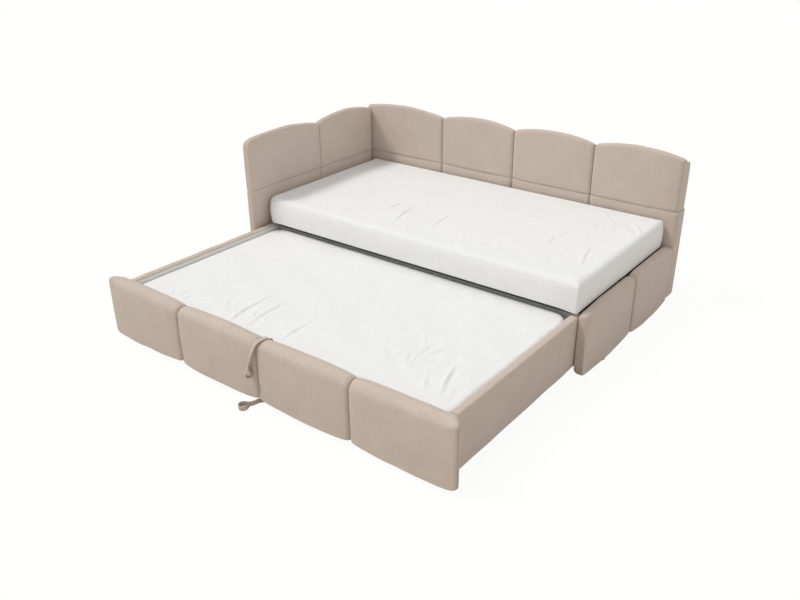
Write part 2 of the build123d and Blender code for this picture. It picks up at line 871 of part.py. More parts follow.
def build():
    """Every node of the bed in the drawing frame, by name."""
    parts = {}
    parts["headboard_core"] = headboard_core.solid()
    parts["back_core"] = back_core.solid()
    parts["end_core"] = end_core.solid()
    core_holes = shank_holes(frame_bolts(), frame_bolt_radius) + shank_holes(angle_bolts(), angle_bolt_radius)
    for name in ("headboard_core", "back_core", "end_core"):
        parts[name] = without(parts[name], core_holes)
    for group in (headboard_padding(), back_padding(), end_padding()):
        for name, solid in group.items():
            parts[name] = without(solid, panel_cuts)
    parts["headboard_angle"] = support_angle(-1, headboard_in)
    parts["end_angle"] = support_angle(1, end_in)
    for name, y in rail_places.items():
        rail = frame_rail(y)
        parts[name] = without(rail, shank_holes(slat_screws(), slat_screw_radius))
    parts["back_brackets"] = back_brackets()
    parts["slats"] = slats()
    parts["slat_screws"] = [cylinder_between(*screw, slat_screw_radius) for screw in slat_screws()]
    parts["frame_bolts"] = [
        bolt_between(*bolt, frame_bolt_radius, frame_bolt_head_radius, frame_bolt_head)
        for bolt in frame_bolts()
    ]
    parts["angle_bolts"] = [
        bolt_between(*bolt, angle_bolt_radius, angle_bolt_head_radius, angle_bolt_head)
        for bolt in angle_bolts()
    ]
    parts["glide_feet"] = [foot(x, y) for x, y in foot_places()]
    parts["main_mattress"] = main_mattress()
    screw_holes = shank_holes(trundle_screws(), trundle_screw_radius)
    head_holes = head_rooms(trundle_screws(), trundle_screw_head_radius, trundle_screw_head)
    parts["trundle_front_board"] = front_board.solid()
    parts.update(trundle_cushions())
    for name, side in (("left", -1), ("right", 1)):
        parts["trundle_side_core_" + name] = without(side_core(side).solid(), screw_holes + head_holes)
        parts["trundle_side_cover_" + name] = without(side_cover(side), screw_holes)
        parts["trundle_lining_" + name] = without(side_lining(side), screw_holes)
    parts["trundle_rear_rail"] = without(rear_rail(), screw_holes)
    parts["trundle_bearers"] = [without(bearer, screw_holes) for bearer in trundle_bearers()]
    parts["trundle_slats"] = trundle_slats()
    parts["trundle_screws"] = [
        bolt_between(*screw, trundle_screw_radius, trundle_screw_head_radius, trundle_screw_head)
        for screw in trundle_screws()
    ]
    parts["trundle_mattress"] = trundle_mattress()
    places = castor_places()
    parts["castor_brackets"] = [castor_bracket(x, y) for x, y in places]
    parts["castor_axles"] = [castor_axle(x, y) for x, y in places]
    for number, (x, y) in enumerate(places, 1):
        parts["castor_wheel_%d" % number] = castor_wheel(x, y)
    parts["lift_strap"] = lift_strap()
    parts["pull_strap"] = pull_strap()
    return parts


def solids_of(part):
    """The separate solids of a node."""
    items = part if isinstance(part, list) else [part]
    return [solid for item in items for solid in item.solids()]


def main():
    """Builds every node, puts the origin under the middle of the whole and writes the files."""
    nodes = {name: solids_of(part) for name, part in build().items()}
    boxes = [solid.bounding_box() for solids in nodes.values() for solid in solids]
    middle_x = (min(box.min.X for box in boxes) + max(box.max.X for box in boxes)) / 2
    middle_y = (min(box.min.Y for box in boxes) + max(box.max.Y for box in boxes)) / 2
    os.makedirs("parts", exist_ok=True)
    origin = Pos(-middle_x, -middle_y, 0)
    for name, solids in nodes.items():
        whole = Compound(children=[origin * solid for solid in solids])
        export_step(whole, os.path.join("parts", name + ".step"))
    print("origin shift", round(-middle_x, 4), round(-middle_y, 4))
    print("trundle travel", trundle_travel)
    for x, y in castor_places():
        print("castor", round(x - middle_x, 4), round(y - middle_y, 4), wheel_radius)
    foot_x, foot_y = foot_places()[0]
    print("fact first_foot", round(foot_x - middle_x, 3), round(foot_y - middle_y, 3))
    for name, (low, high) in loop_boxes().items():
        corners = [Vector(*corner) - Vector(middle_x, middle_y, 0) for corner in (low, high)]
        print("fact", name, *[round(value, 3) for corner in corners for value in corner])
    print("nodes", len(nodes))


main()
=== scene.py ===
"""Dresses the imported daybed: puffed panels, mattresses, straps, finishes, studio light and camera."""

import json
import logging
import math
from dataclasses import dataclass
from enum import Enum

import bpy
import numpy as np
from mathutils import Matrix, Vector

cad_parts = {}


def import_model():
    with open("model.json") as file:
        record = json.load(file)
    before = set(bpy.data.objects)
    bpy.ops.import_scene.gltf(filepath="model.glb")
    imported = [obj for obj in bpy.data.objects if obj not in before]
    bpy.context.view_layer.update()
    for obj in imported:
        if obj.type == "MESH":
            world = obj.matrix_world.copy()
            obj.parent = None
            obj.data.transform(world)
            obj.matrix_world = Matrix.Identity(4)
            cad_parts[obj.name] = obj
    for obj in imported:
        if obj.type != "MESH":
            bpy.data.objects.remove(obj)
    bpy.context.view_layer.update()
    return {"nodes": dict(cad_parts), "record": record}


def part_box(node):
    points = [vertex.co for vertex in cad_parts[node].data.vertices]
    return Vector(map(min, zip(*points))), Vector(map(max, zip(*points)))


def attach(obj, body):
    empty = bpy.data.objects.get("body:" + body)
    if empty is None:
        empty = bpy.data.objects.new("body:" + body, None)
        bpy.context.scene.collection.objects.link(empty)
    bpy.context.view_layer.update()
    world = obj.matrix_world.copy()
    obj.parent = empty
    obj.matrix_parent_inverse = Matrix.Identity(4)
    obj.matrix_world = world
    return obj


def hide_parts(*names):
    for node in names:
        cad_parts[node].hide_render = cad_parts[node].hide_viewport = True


LOG = logging.getLogger("daybed")
MM = 0.001
Colour = tuple[float, float, float]


class Run(Enum):
    """The direction that a row of puffs runs in."""

    ALONG = "x"
    ACROSS = "y"


# Shader maths


class Signal:
    """A shader socket that takes part in Python arithmetic. Each operation adds one Math node."""

    def __init__(self, nodes: "Nodes", socket: bpy.types.NodeSocket) -> None:
        """Keeps the tree's wrapper and the socket.

        Args:
            nodes: The wrapper of the tree that the socket belongs to.
            socket: The output socket.
        """
        self.nodes = nodes
        self.socket = socket

    def math(self, operation: str, *operands: "Signal | float", clamp: bool = False) -> "Signal":
        """Adds a Math node.

        Args:
            operation: The node's operation.
            operands: Its inputs in order.
            clamp: Whether the result is kept from 0 to 1.

        Returns:
            The node's output.
        """
        settings = {"operation": operation, "use_clamp": clamp}
        return self.nodes.node("ShaderNodeMath", settings, dict(enumerate(operands)))

    def __add__(self, other: "Signal | float") -> "Signal":
        """The sum."""
        return self.math("ADD", self, other)

    def __radd__(self, other: float) -> "Signal":
        """The sum with a plain number first."""
        return self.math("ADD", other, self)

    def __sub__(self, other: "Signal | float") -> "Signal":
        """The difference."""
        return self.math("SUBTRACT", self, other)

    def __rsub__(self, other: float) -> "Signal":
        """A plain number less this."""
        return self.math("SUBTRACT", other, self)

    def __mul__(self, other: "Signal | float") -> "Signal":
        """The product."""
        return self.math("MULTIPLY", self, other)

    def __rmul__(self, other: float) -> "Signal":
        """The product with a plain number first."""
        return self.math("MULTIPLY", other, self)

    def wave(self, length: float) -> "Signal":
        """A sine of this coordinate, from -1 to 1.

        Args:
            length: The wave's length in metres.

        Returns:
            The sine.
        """
        turns = self * (2 * math.pi / length)
        return turns.math("SINE", turns)

    def clamped(self) -> "Signal":
        """The same value, kept from 0 to 1."""
        return self.math("ADD", self, 0.0, clamp=True)

    def ramp(self, low: float, high: float) -> "Signal":
        """A smooth step from 0 at low to 1 at high."""
        values = {0: self, 1: low, 2: high, 3: 0.0, 4: 1.0}
        return self.nodes.node("ShaderNodeMapRange", {"interpolation_type": "SMOOTHSTEP"}, values)


class Nodes:
    """The node tree of a material or a world, filled from Python."""

    def __init__(self, owner: bpy.types.Material | bpy.types.World) -> None:
        """Takes the owner's tree.

        Args:
            owner: The new material or world.
        """
        owner.use_nodes = True
        self.tree = owner.node_tree

    def node(
        self, kind: str, settings: dict | None = None, values: dict | None = None, output: int | str = 0
    ) -> Signal:
        """Adds a node, sets it up and feeds it.

        Args:
            kind: The node's type.
            settings: Its own settings, set first.
            values: Its inputs by name or number, as signals, numbers or tuples.
            output: The output to give back.

        Returns:
            That output.
        """
        made = self.tree.nodes.new(kind)
        for key, value in (settings or {}).items():
            setattr(made, key, value)
        for key, value in (values or {}).items():
            self.feed(made.inputs[key], value)
        return Signal(self, made.outputs[output])

    def feed(self, socket: bpy.types.NodeSocket, value: "Signal | float | tuple") -> None:
        """Links a signal to an input, or sets a plain value on it."""
        if isinstance(value, Signal):
            self.tree.links.new(value.socket, socket)
        elif socket.type == "RGBA" and len(value) == 3:
            socket.default_value = (*value, 1.0)
        else:
            socket.default_value = value


class Shader(Nodes):
    """One material with a Principled surface."""

    def __init__(self, name: str) -> None:
        """Starts the material with its surface and nothing else.

        Args:
            name: The material's name.
        """
        self.material = bpy.data.materials.new(name)
        super().__init__(self.material)
        self.surface = self.tree.nodes["Principled BSDF"]
        self.output = self.tree.nodes["Material Output"]

    def place(self, *scale: float) -> Signal:
        """The object's own coordinates in metres, stretched by three factors if they are given."""
        here = self.node("ShaderNodeTexCoord", output="Object")
        if not scale:
            return here
        return self.node("ShaderNodeMapping", values={"Vector": here, "Scale": scale})

    def cloth_place(self) -> tuple[Signal, Signal]:
        """The piece's own cloth coordinates, along the cloth and across it, in metres."""
        uv = self.node("ShaderNodeUVMap", {"uv_map": CLOTH_MAP})
        return tuple(self.node("ShaderNodeSeparateXYZ", values={0: uv}, output=k) for k in range(2))

    def noise(self, where: Signal, scale: float, detail: float = 3.0, rough: float = 0.5) -> Signal:
        """Smooth noise from 0 to 1 about 0.5."""
        return self.node(
            "ShaderNodeTexNoise",
            values={"Vector": where, "Scale": scale, "Detail": detail, "Roughness": rough},
        )

    def cells(self, where: Signal, scale: float) -> Signal:
        """Distance to the middle of the nearest of many small cells."""
        return self.node("ShaderNodeTexVoronoi", values={"Vector": where, "Scale": scale})

    def mix(self, share: Signal, first: "Signal | Colour", second: "Signal | Colour") -> Signal:
        """A colour between two, by a share."""
        values = {0: share, 6: first, 7: second}
        return self.node("ShaderNodeMix", {"data_type": "RGBA"}, values, output=2)

    def bump(self, height: Signal, strength: float, distance: float) -> Signal:
        """A normal bent by a height in metres times a distance."""
        values = {"Height": height, "Strength": strength, "Distance": distance}
        return self.node("ShaderNodeBump", values=values)

    def finish(self, **values: "Signal | float | tuple") -> bpy.types.Material:
        """Feeds the Principled surface.

        Args:
            values: Its inputs, with an underscore for each space in their names.

        Returns:
            The finished material.
        """
        for key, value in values.items():
            self.feed(self.surface.inputs[key.replace("_", " ")], value)
        return self.material


CLOTH_MAP = "cloth"


@dataclass(frozen=True)
class Upholstery:
    """The beige woven cover: soft thread nubs, a plain weave and slow changes of tone."""

    name: str = "beige_fabric"
    colour: Colour = (0.655, 0.560, 0.480)
    shade: Colour = (0.515, 0.430, 0.360)
    thread: float = 1.7 * MM
    fleck: float = 7.0 * MM
    relief: float = 0.35 * MM

    def material(self) -> bpy.types.Material:
        """Makes the material."""
        shader = Shader(self.name)
        where = shader.place()
        along, across = shader.cloth_place()
        weave = along.wave(self.thread) * across.wave(self.thread)
        nubs = shader.noise(where, 0.45 / self.thread, 2.0, 0.6)
        slub = shader.noise(shader.place(1.0, 1.0, 7.0), 60.0, 2.0)
        fleck = shader.noise(where, 0.8 / self.fleck, 3.0, 0.6)
        cloud = shader.noise(where, 9.0, 2.0)
        tone = (nubs - 0.5) * 0.8 + (slub - 0.5) * 0.5 + (fleck - 0.5) * 1.1 + (cloud - 0.5) * 0.5
        colour = shader.mix((tone + weave * 0.06 + 0.42).clamped(), self.colour, self.shade)
        height = nubs + weave * 0.25 + slub * 0.4 + fleck * 1.5
        return shader.finish(
            Base_Color=colour,
            Roughness=0.88,
            Normal=shader.bump(height, 0.55, self.relief),
            Sheen_Weight=0.22,
            Sheen_Roughness=0.5,
            Specular_IOR_Level=0.25,
        )


@dataclass(frozen=True)
class Linen:
    """The white stretch cover of the mattresses: fine knit with faint lengthwise lines."""

    name: str = "mattress_linen"
    colour: Colour = (0.900, 0.900, 0.895)
    shade: Colour = (0.800, 0.800, 0.800)
    thread: float = 1.2 * MM
    rib: float = 6.0 * MM

    def material(self) -> bpy.types.Material:
        """Makes the material."""
        shader = Shader(self.name)
        where = shader.place()
        along, across = shader.cloth_place()
        knit = along.wave(self.thread) * across.wave(self.thread)
        upright = shader.noise(shader.place(1.0, 1.0, 0.06), 0.9 / self.rib, 3.0, 0.6)
        level = shader.noise(shader.place(0.12, 0.12, 1.0), 0.9 / self.rib, 3.0, 0.6)
        cloud = shader.noise(where, 26.0, 4.0, 0.6)
        crumple = shader.noise(where, 75.0, 4.0, 0.65)
        tone = (upright - 0.5) * 0.8 + (level - 0.5) * 0.7 + (crumple - 0.5) * 0.6 + (cloud - 0.5) * 0.4
        colour = shader.mix((tone + knit * 0.04 + 0.14).clamped(), self.colour, self.shade)
        height = upright * 2.8 + level * 2.2 + cloud * 5.0 + crumple * 3.5 + knit * 0.2
        return shader.finish(
            Base_Color=colour,
            Roughness=0.8,
            Normal=shader.bump(height, 0.6, 0.8 * MM),
            Sheen_Weight=0.12,
            Specular_IOR_Level=0.2,
        )


@dataclass(frozen=True)
class Webbing:
    """The straps' flat woven band, with ribs across and a fine twill."""

    name: str = "webbing"
    colour: Colour = (0.660, 0.570, 0.490)
    shade: Colour = (0.500, 0.420, 0.350)
    rib: float = 1.6 * MM

    def material(self) -> bpy.types.Material:
        """Makes the material."""
        shader = Shader(self.name)
        along, across = shader.cloth_place()
        ribs = along.wave(self.rib)
        twill = (along + across).wave(2 * self.rib)
        speck = shader.noise(shader.place(), 700.0, 2.0)
        tone = ribs * 0.18 + twill * 0.12 + (speck - 0.5) * 0.6
        colour = shader.mix((tone + 0.35).clamped(), self.colour, self.shade)
        return shader.finish(
            Base_Color=colour,
            Roughness=0.8,
            Normal=shader.bump(ribs + twill * 0.5, 0.6, 0.25 * MM),
            Specular_IOR_Level=0.3,
        )


@dataclass(frozen=True)
class Hard:
    """A hard finish: a fine grain that bends its light, and slow wear in its tone and gloss.

    With no wear tone, the wear shows as scuffs with clear edges.
    """

    name: str
    colour: Colour
    shade: Colour
    roughness: float
    grain_scale: float
    grain_detail: float
    grain_tone: float
    wear_scale: float
    wear_tone: float
    wear_gloss: float
    relief: float
    depth: float
    metallic: float = 0.0
    stretch: tuple[float, ...] = ()

    def material(self) -> bpy.types.Material:
        """Makes the material."""
        shader = Shader(self.name)
        grain = shader.noise(shader.place(*self.stretch), self.grain_scale, self.grain_detail)
        wear = shader.noise(shader.place(), self.wear_scale, 4.0)
        tone = grain * self.grain_tone + wear * self.wear_tone if self.wear_tone else wear.ramp(0.45, 0.75)
        return shader.finish(
            Base_Color=shader.mix(tone, self.colour, self.shade),
            Metallic=self.metallic,
            Roughness=wear * self.wear_gloss + self.roughness,
            Normal=shader.bump(grain, self.relief, self.depth),
        )


def laminate(name: str, colour: Colour, shade: Colour, roughness: float) -> Hard:
    """A hard smooth board face with a faint satin grain."""
    return Hard(
        name, colour, shade, roughness - 0.09, grain_scale=220.0, grain_detail=3.0, grain_tone=0.5,
        wear_scale=14.0, wear_tone=0.3, wear_gloss=0.18, relief=0.2, depth=0.1 * MM, stretch=(0.04, 1.0, 1.0),
    )


def metal(name: str, colour: Colour, shade: Colour, metallic: float, roughness: float, grit: float) -> Hard:
    """A metal part, bare and zinc plated or powder coated."""
    return Hard(
        name, colour, shade, roughness - 0.1, grain_scale=grit, grain_detail=3.0, grain_tone=0.0,
        wear_scale=22.0, wear_tone=0.8, wear_gloss=0.2, relief=0.25, depth=0.12 * MM, metallic=metallic,
    )


def moulded(name: str, colour: Colour, shade: Colour, roughness: float) -> Hard:
    """A moulded plastic or rubber part with a fine matt grain and scuffs."""
    return Hard(
        name, colour, shade, roughness, grain_scale=1400.0, grain_detail=2.0, grain_tone=0.0,
        wear_scale=60.0, wear_tone=0.0, wear_gloss=0.15, relief=0.3, depth=0.1 * MM,
    )


@dataclass(frozen=True)
class Timber:
    """Planed birch, its grain along one axis."""

    name: str
    run: Run
    early: Colour = (0.720, 0.560, 0.380)
    late: Colour = (0.520, 0.360, 0.210)

    def material(self) -> bpy.types.Material:
        """Makes the material."""
        shader = Shader(self.name)
        stretch = (0.07, 1.0, 1.0) if self.run is Run.ALONG else (1.0, 0.07, 1.0)
        grain = shader.noise(shader.place(*stretch), 70.0, 5.0, 0.65)
        pores = shader.noise(shader.place(*stretch), 520.0, 2.0)
        share = grain.ramp(0.35, 0.7) * 0.75 + pores * 0.2
        return shader.finish(
            Base_Color=shader.mix(share, self.early, self.late),
            Roughness=grain * 0.2 + 0.5,
            Normal=shader.bump(pores + grain, 0.3, 0.2 * MM),
        )


@dataclass(frozen=True)
class ChipBoard:
    """Raw particle board with pale and dark chips."""

    name: str = "board"
    pale: Colour = (0.640, 0.500, 0.340)
    dark: Colour = (0.360, 0.240, 0.140)

    def material(self) -> bpy.types.Material:
        """Makes the material."""
        shader = Shader(self.name)
        chips = shader.cells(shader.place(1.0, 1.0, 2.2), 230.0)
        dust = shader.noise(shader.place(), 900.0, 2.0)
        share = chips.ramp(0.15, 0.75) * 0.8 + dust * 0.2
        return shader.finish(
            Base_Color=shader.mix(share, self.pale, self.dark),
            Roughness=0.85,
            Normal=shader.bump(chips + dust, 0.4, 0.3 * MM),
        )


FINISHES = {
    "beige_fabric": Upholstery(),
    "mattress_linen": Linen(),
    "webbing": Webbing(),
    "board": ChipBoard(),
    "white_lining": laminate("white_lining", (0.800, 0.785, 0.755), (0.740, 0.722, 0.690), 0.45),
    "grey_rail": laminate("grey_rail", (0.760, 0.760, 0.750), (0.660, 0.660, 0.650), 0.4),
    "slat_timber": Timber("slat_timber", Run.ACROSS),
    "black_steel": metal("black_steel", (0.014, 0.014, 0.015), (0.022, 0.022, 0.023), 0.0, 0.5, 1500.0),
    "zinc": metal("zinc", (0.62, 0.63, 0.64), (0.48, 0.49, 0.50), 1.0, 0.34, 900.0),
    "black_plastic": moulded("black_plastic", (0.018, 0.018, 0.019), (0.032, 0.032, 0.033), 0.45),
    "wheel_rubber": moulded("wheel_rubber", (0.060, 0.060, 0.062), (0.095, 0.093, 0.090), 0.6),
}


# Surfaces


def signed_volume(points: np.ndarray, faces: list[np.ndarray]) -> float:
    """The volume inside closed faces, negative where they point inwards.

    Each face is fanned into triangles from its first corner, and each triangle adds a sixth of the
    triple product of its corners.

    Args:
        points: All corners, one row each.
        faces: Arrays of corner numbers, one face a row.

    Returns:
        The volume.
    """
    total = 0.0
    for group in faces:
        for k in range(1, group.shape[1] - 1):
            a, b, c = points[group[:, 0]], points[group[:, k]], points[group[:, k + 1]]
            total += float(np.einsum("ij,ij->", a, np.cross(b, c))) / 6
    return total


def mesh_piece(
    name: str, points: np.ndarray, faces: list[np.ndarray], cloth: list[np.ndarray], levels: int = 1
) -> bpy.types.Object:
    """Puts a closed surface into a new smooth object at the origin, with its faces turned outwards.

    Args:
        name: The piece's name.
        points: Its points in metres.
        faces: Arrays of corner numbers, one face a row.
        cloth: For each array, the cloth coordinates of each corner, in metres.
        levels: Subdivision levels.

    Returns:
        The object.
    """
    if signed_volume(points, faces) < 0:
        faces = [group[:, ::-1] for group in faces]
        cloth = [group[:, ::-1] for group in cloth]
    mesh = bpy.data.meshes.new(name)
    mesh.from_pydata(points.tolist(), [], [face for group in faces for face in group.tolist()])
    layer = mesh.uv_layers.new(name=CLOTH_MAP)
    flat = np.concatenate([group.reshape(-1, 2) for group in cloth]).astype(np.float32)
    layer.data.foreach_set("uv", flat.ravel())
    mesh.polygons.foreach_set("use_smooth", np.ones(len(mesh.polygons), bool))
    mesh.update()
    made = bpy.data.objects.new(name, mesh)
    bpy.context.scene.collection.objects.link(made)
    if levels:
        smooth = made.modifiers.new("smooth", "SUBSURF")
        smooth.levels = smooth.render_levels = levels
    return made


def loft_faces(
    rings: int, around: int, along_cloth: np.ndarray, around_cloth: np.ndarray
) -> tuple[list[np.ndarray], list[np.ndarray]]:
    """Faces of rings of points joined in order, closed by one pole point at each end.

    Point j of ring i has the number i times around plus j. The two poles come last.

    Args:
        rings: How many rings.
        around: How many points in each.
        along_cloth: The cloth coordinate of each ring.
        around_cloth: The cloth coordinate of each point round a ring, and of the first point again.

    Returns:
        The face arrays and their cloth coordinates.
    """
    i, j = np.meshgrid(np.arange(rings - 1), np.arange(around), indexing="ij")
    i, j = i.ravel(), j.ravel()
    following = (j + 1) % around
    quads = np.stack([i * around + j, i * around + following,
                      (i + 1) * around + following, (i + 1) * around + j], axis=1)
    u, v = along_cloth, around_cloth
    quad_cloth = np.stack([np.stack([u[i], v[j]], 1), np.stack([u[i], v[j + 1]], 1),
                           np.stack([u[i + 1], v[j + 1]], 1), np.stack([u[i + 1], v[j]], 1)], axis=1)
    ring = np.arange(around)
    after = (ring + 1) % around
    caps, cap_cloth = [], []
    for row, pole, order in ((0, rings * around, -1), (rings - 1, rings * around + 1, 1)):
        pair = (ring, after) if order > 0 else (after, ring)
        caps.append(np.stack([row * around + pair[0], row * around + pair[1], np.full(around, pole)], 1))
        level = np.full(around, u[row])
        spots = [np.stack([level, v[:-1]], 1), np.stack([level, v[1:]], 1)]
        spots = spots if order > 0 else spots[::-1]
        cap_cloth.append(np.stack([*spots, np.stack([level, v[:-1]], 1)], axis=1))
    return [quads, np.concatenate(caps)], [quad_cloth, np.concatenate(cap_cloth)]


def running(points: np.ndarray, least: float = 0.0) -> np.ndarray:
    """The running length along points from zero, where each step counts the least length more."""
    steps = np.linalg.norm(np.diff(points, axis=0), axis=1) + least
    return np.concatenate([[0.0], np.cumsum(steps)])


def capped(rings: np.ndarray, shares: tuple[float, ...]) -> tuple[np.ndarray, np.ndarray]:
    """Closes rings of points with smaller flat rings and a pole at each end.

    Args:
        rings: Points as rings, points and x, y, z.
        shares: The sizes of the smaller rings, from the pole outwards.

    Returns:
        All the rings, and all points in one list with the two poles last.
    """
    sizes = np.array(shares)[:, None, None]
    first, last = rings[:1], rings[-1:]
    start, end = first.mean(axis=1, keepdims=True), last.mean(axis=1, keepdims=True)
    rings = np.concatenate([start + (first - start) * sizes, rings, end + (last - end) * sizes[::-1]])
    return rings, np.concatenate([rings.reshape(-1, 3), start[0], end[0]])


def ripples(points: np.ndarray, length: float, seed: int, waves: int = 5) -> np.ndarray:
    """Slow smooth unevenness from about -1 to 1: a sum of sines in seeded directions, over its spread.

    Args:
        points: Places in metres, with x, y and z last.
        length: The usual wave length in metres.
        seed: The seed of the directions.
        waves: How many sines.

    Returns:
        The unevenness at each place.
    """
    rng = np.random.default_rng(seed)
    directions = rng.normal(size=(waves, 3))
    directions /= np.linalg.norm(directions, axis=1, keepdims=True)
    pitch = 2 * math.pi / (length * rng.uniform(0.7, 1.5, waves))
    phase = rng.uniform(0, 2 * math.pi, waves)
    return np.sin(points @ (directions * pitch[:, None]).T + phase).sum(axis=-1) / math.sqrt(waves)


def grid_normals(rings: np.ndarray) -> np.ndarray:
    """Unit normals of a grid that is closed around its second axis, pointing away from the middle.

    Args:
        rings: Points as rings, points and x, y, z.

    Returns:
        A normal for each point.
    """
    along = np.gradient(rings, axis=0)
    around = np.roll(rings, -1, axis=1) - np.roll(rings, 1, axis=1)
    normal = np.cross(along, around)
    normal /= np.maximum(np.linalg.norm(normal, axis=-1, keepdims=True), 1e-12)
    outward = rings - rings.mean(axis=1, keepdims=True)
    if float((normal * outward).sum()) < 0:
        normal = -normal
    return normal


@dataclass(frozen=True)
class Turn:
    """A round end, where a side turns in by a depth over a length, on a superellipse of a power."""

    length: float
    depth: float
    power: float = 2.0

    def inset(self, distance: np.ndarray) -> np.ndarray:
        """How far the side is in at each distance from the end."""
        away = (1 - distance / self.length).clip(0, 1)
        return self.depth * (1 - (1 - away ** self.power).clip(0, 1) ** (1 / self.power))


FLAT_TURN = Turn(1.0 * MM, 0.0)
MOST_ROUND = 0.98
FACES_UP = 0.1
BOARD_COVER = 4.0 * MM
BOARD_FALL = 60.0 * MM
BOARD_FALL_REACH = 30.0 * MM
PUCKER_DRAW = 0.35
PUCKER_SEED = 100
END_RINGS = (0.25, 0.6, 0.88)
LEAST_STEP = 0.1 * MM


@dataclass(frozen=True)
class Side:
    """How one side of a puff is shaped: its draw to the seam at each end, its bow and its round ends.

    A positive outset moves the side out of the node's box. The low share is what is left of the
    start's turn at the foot of the puff. The draw follows one minus |s| to the power, all to one
    over the root, where s runs from -1 to 1 along the puff.
    """

    start_draw: float = 0.0
    end_draw: float = 0.0
    bow: float = 0.0
    start: Turn = FLAT_TURN
    end: Turn = FLAT_TURN
    outset: float = 0.0
    low_share: float = 1.0
    power: float = 2.5
    root: float = 2.5

    def fullness(self, place: np.ndarray, length: float) -> np.ndarray:
        """How full the puff is at each place, from 0 at its ends to 1 in its middle."""
        middle = np.abs(2 * place / length - 1)
        return (1 - middle ** self.power).clip(0, 1) ** (1 / self.root)

    def inset(self, place: np.ndarray, length: float, rise: np.ndarray) -> np.ndarray:
        """How far the side lies inside the box.

        Args:
            place: Distances from the start, down the rows.
            length: The puff's length.
            rise: The height of each point of the section, from 0 to 1.

        Returns:
            The inset, bow included.
        """
        full = self.fullness(place, length)
        draw = np.where(place < length / 2, self.start_draw, self.end_draw)
        turned = self.low_share + (1 - self.low_share) * rise ** 3
        ends = np.maximum(self.start.inset(place) * turned, self.end.inset(length - place))
        return draw * (1 - full) + self.bow * full + ends - self.outset


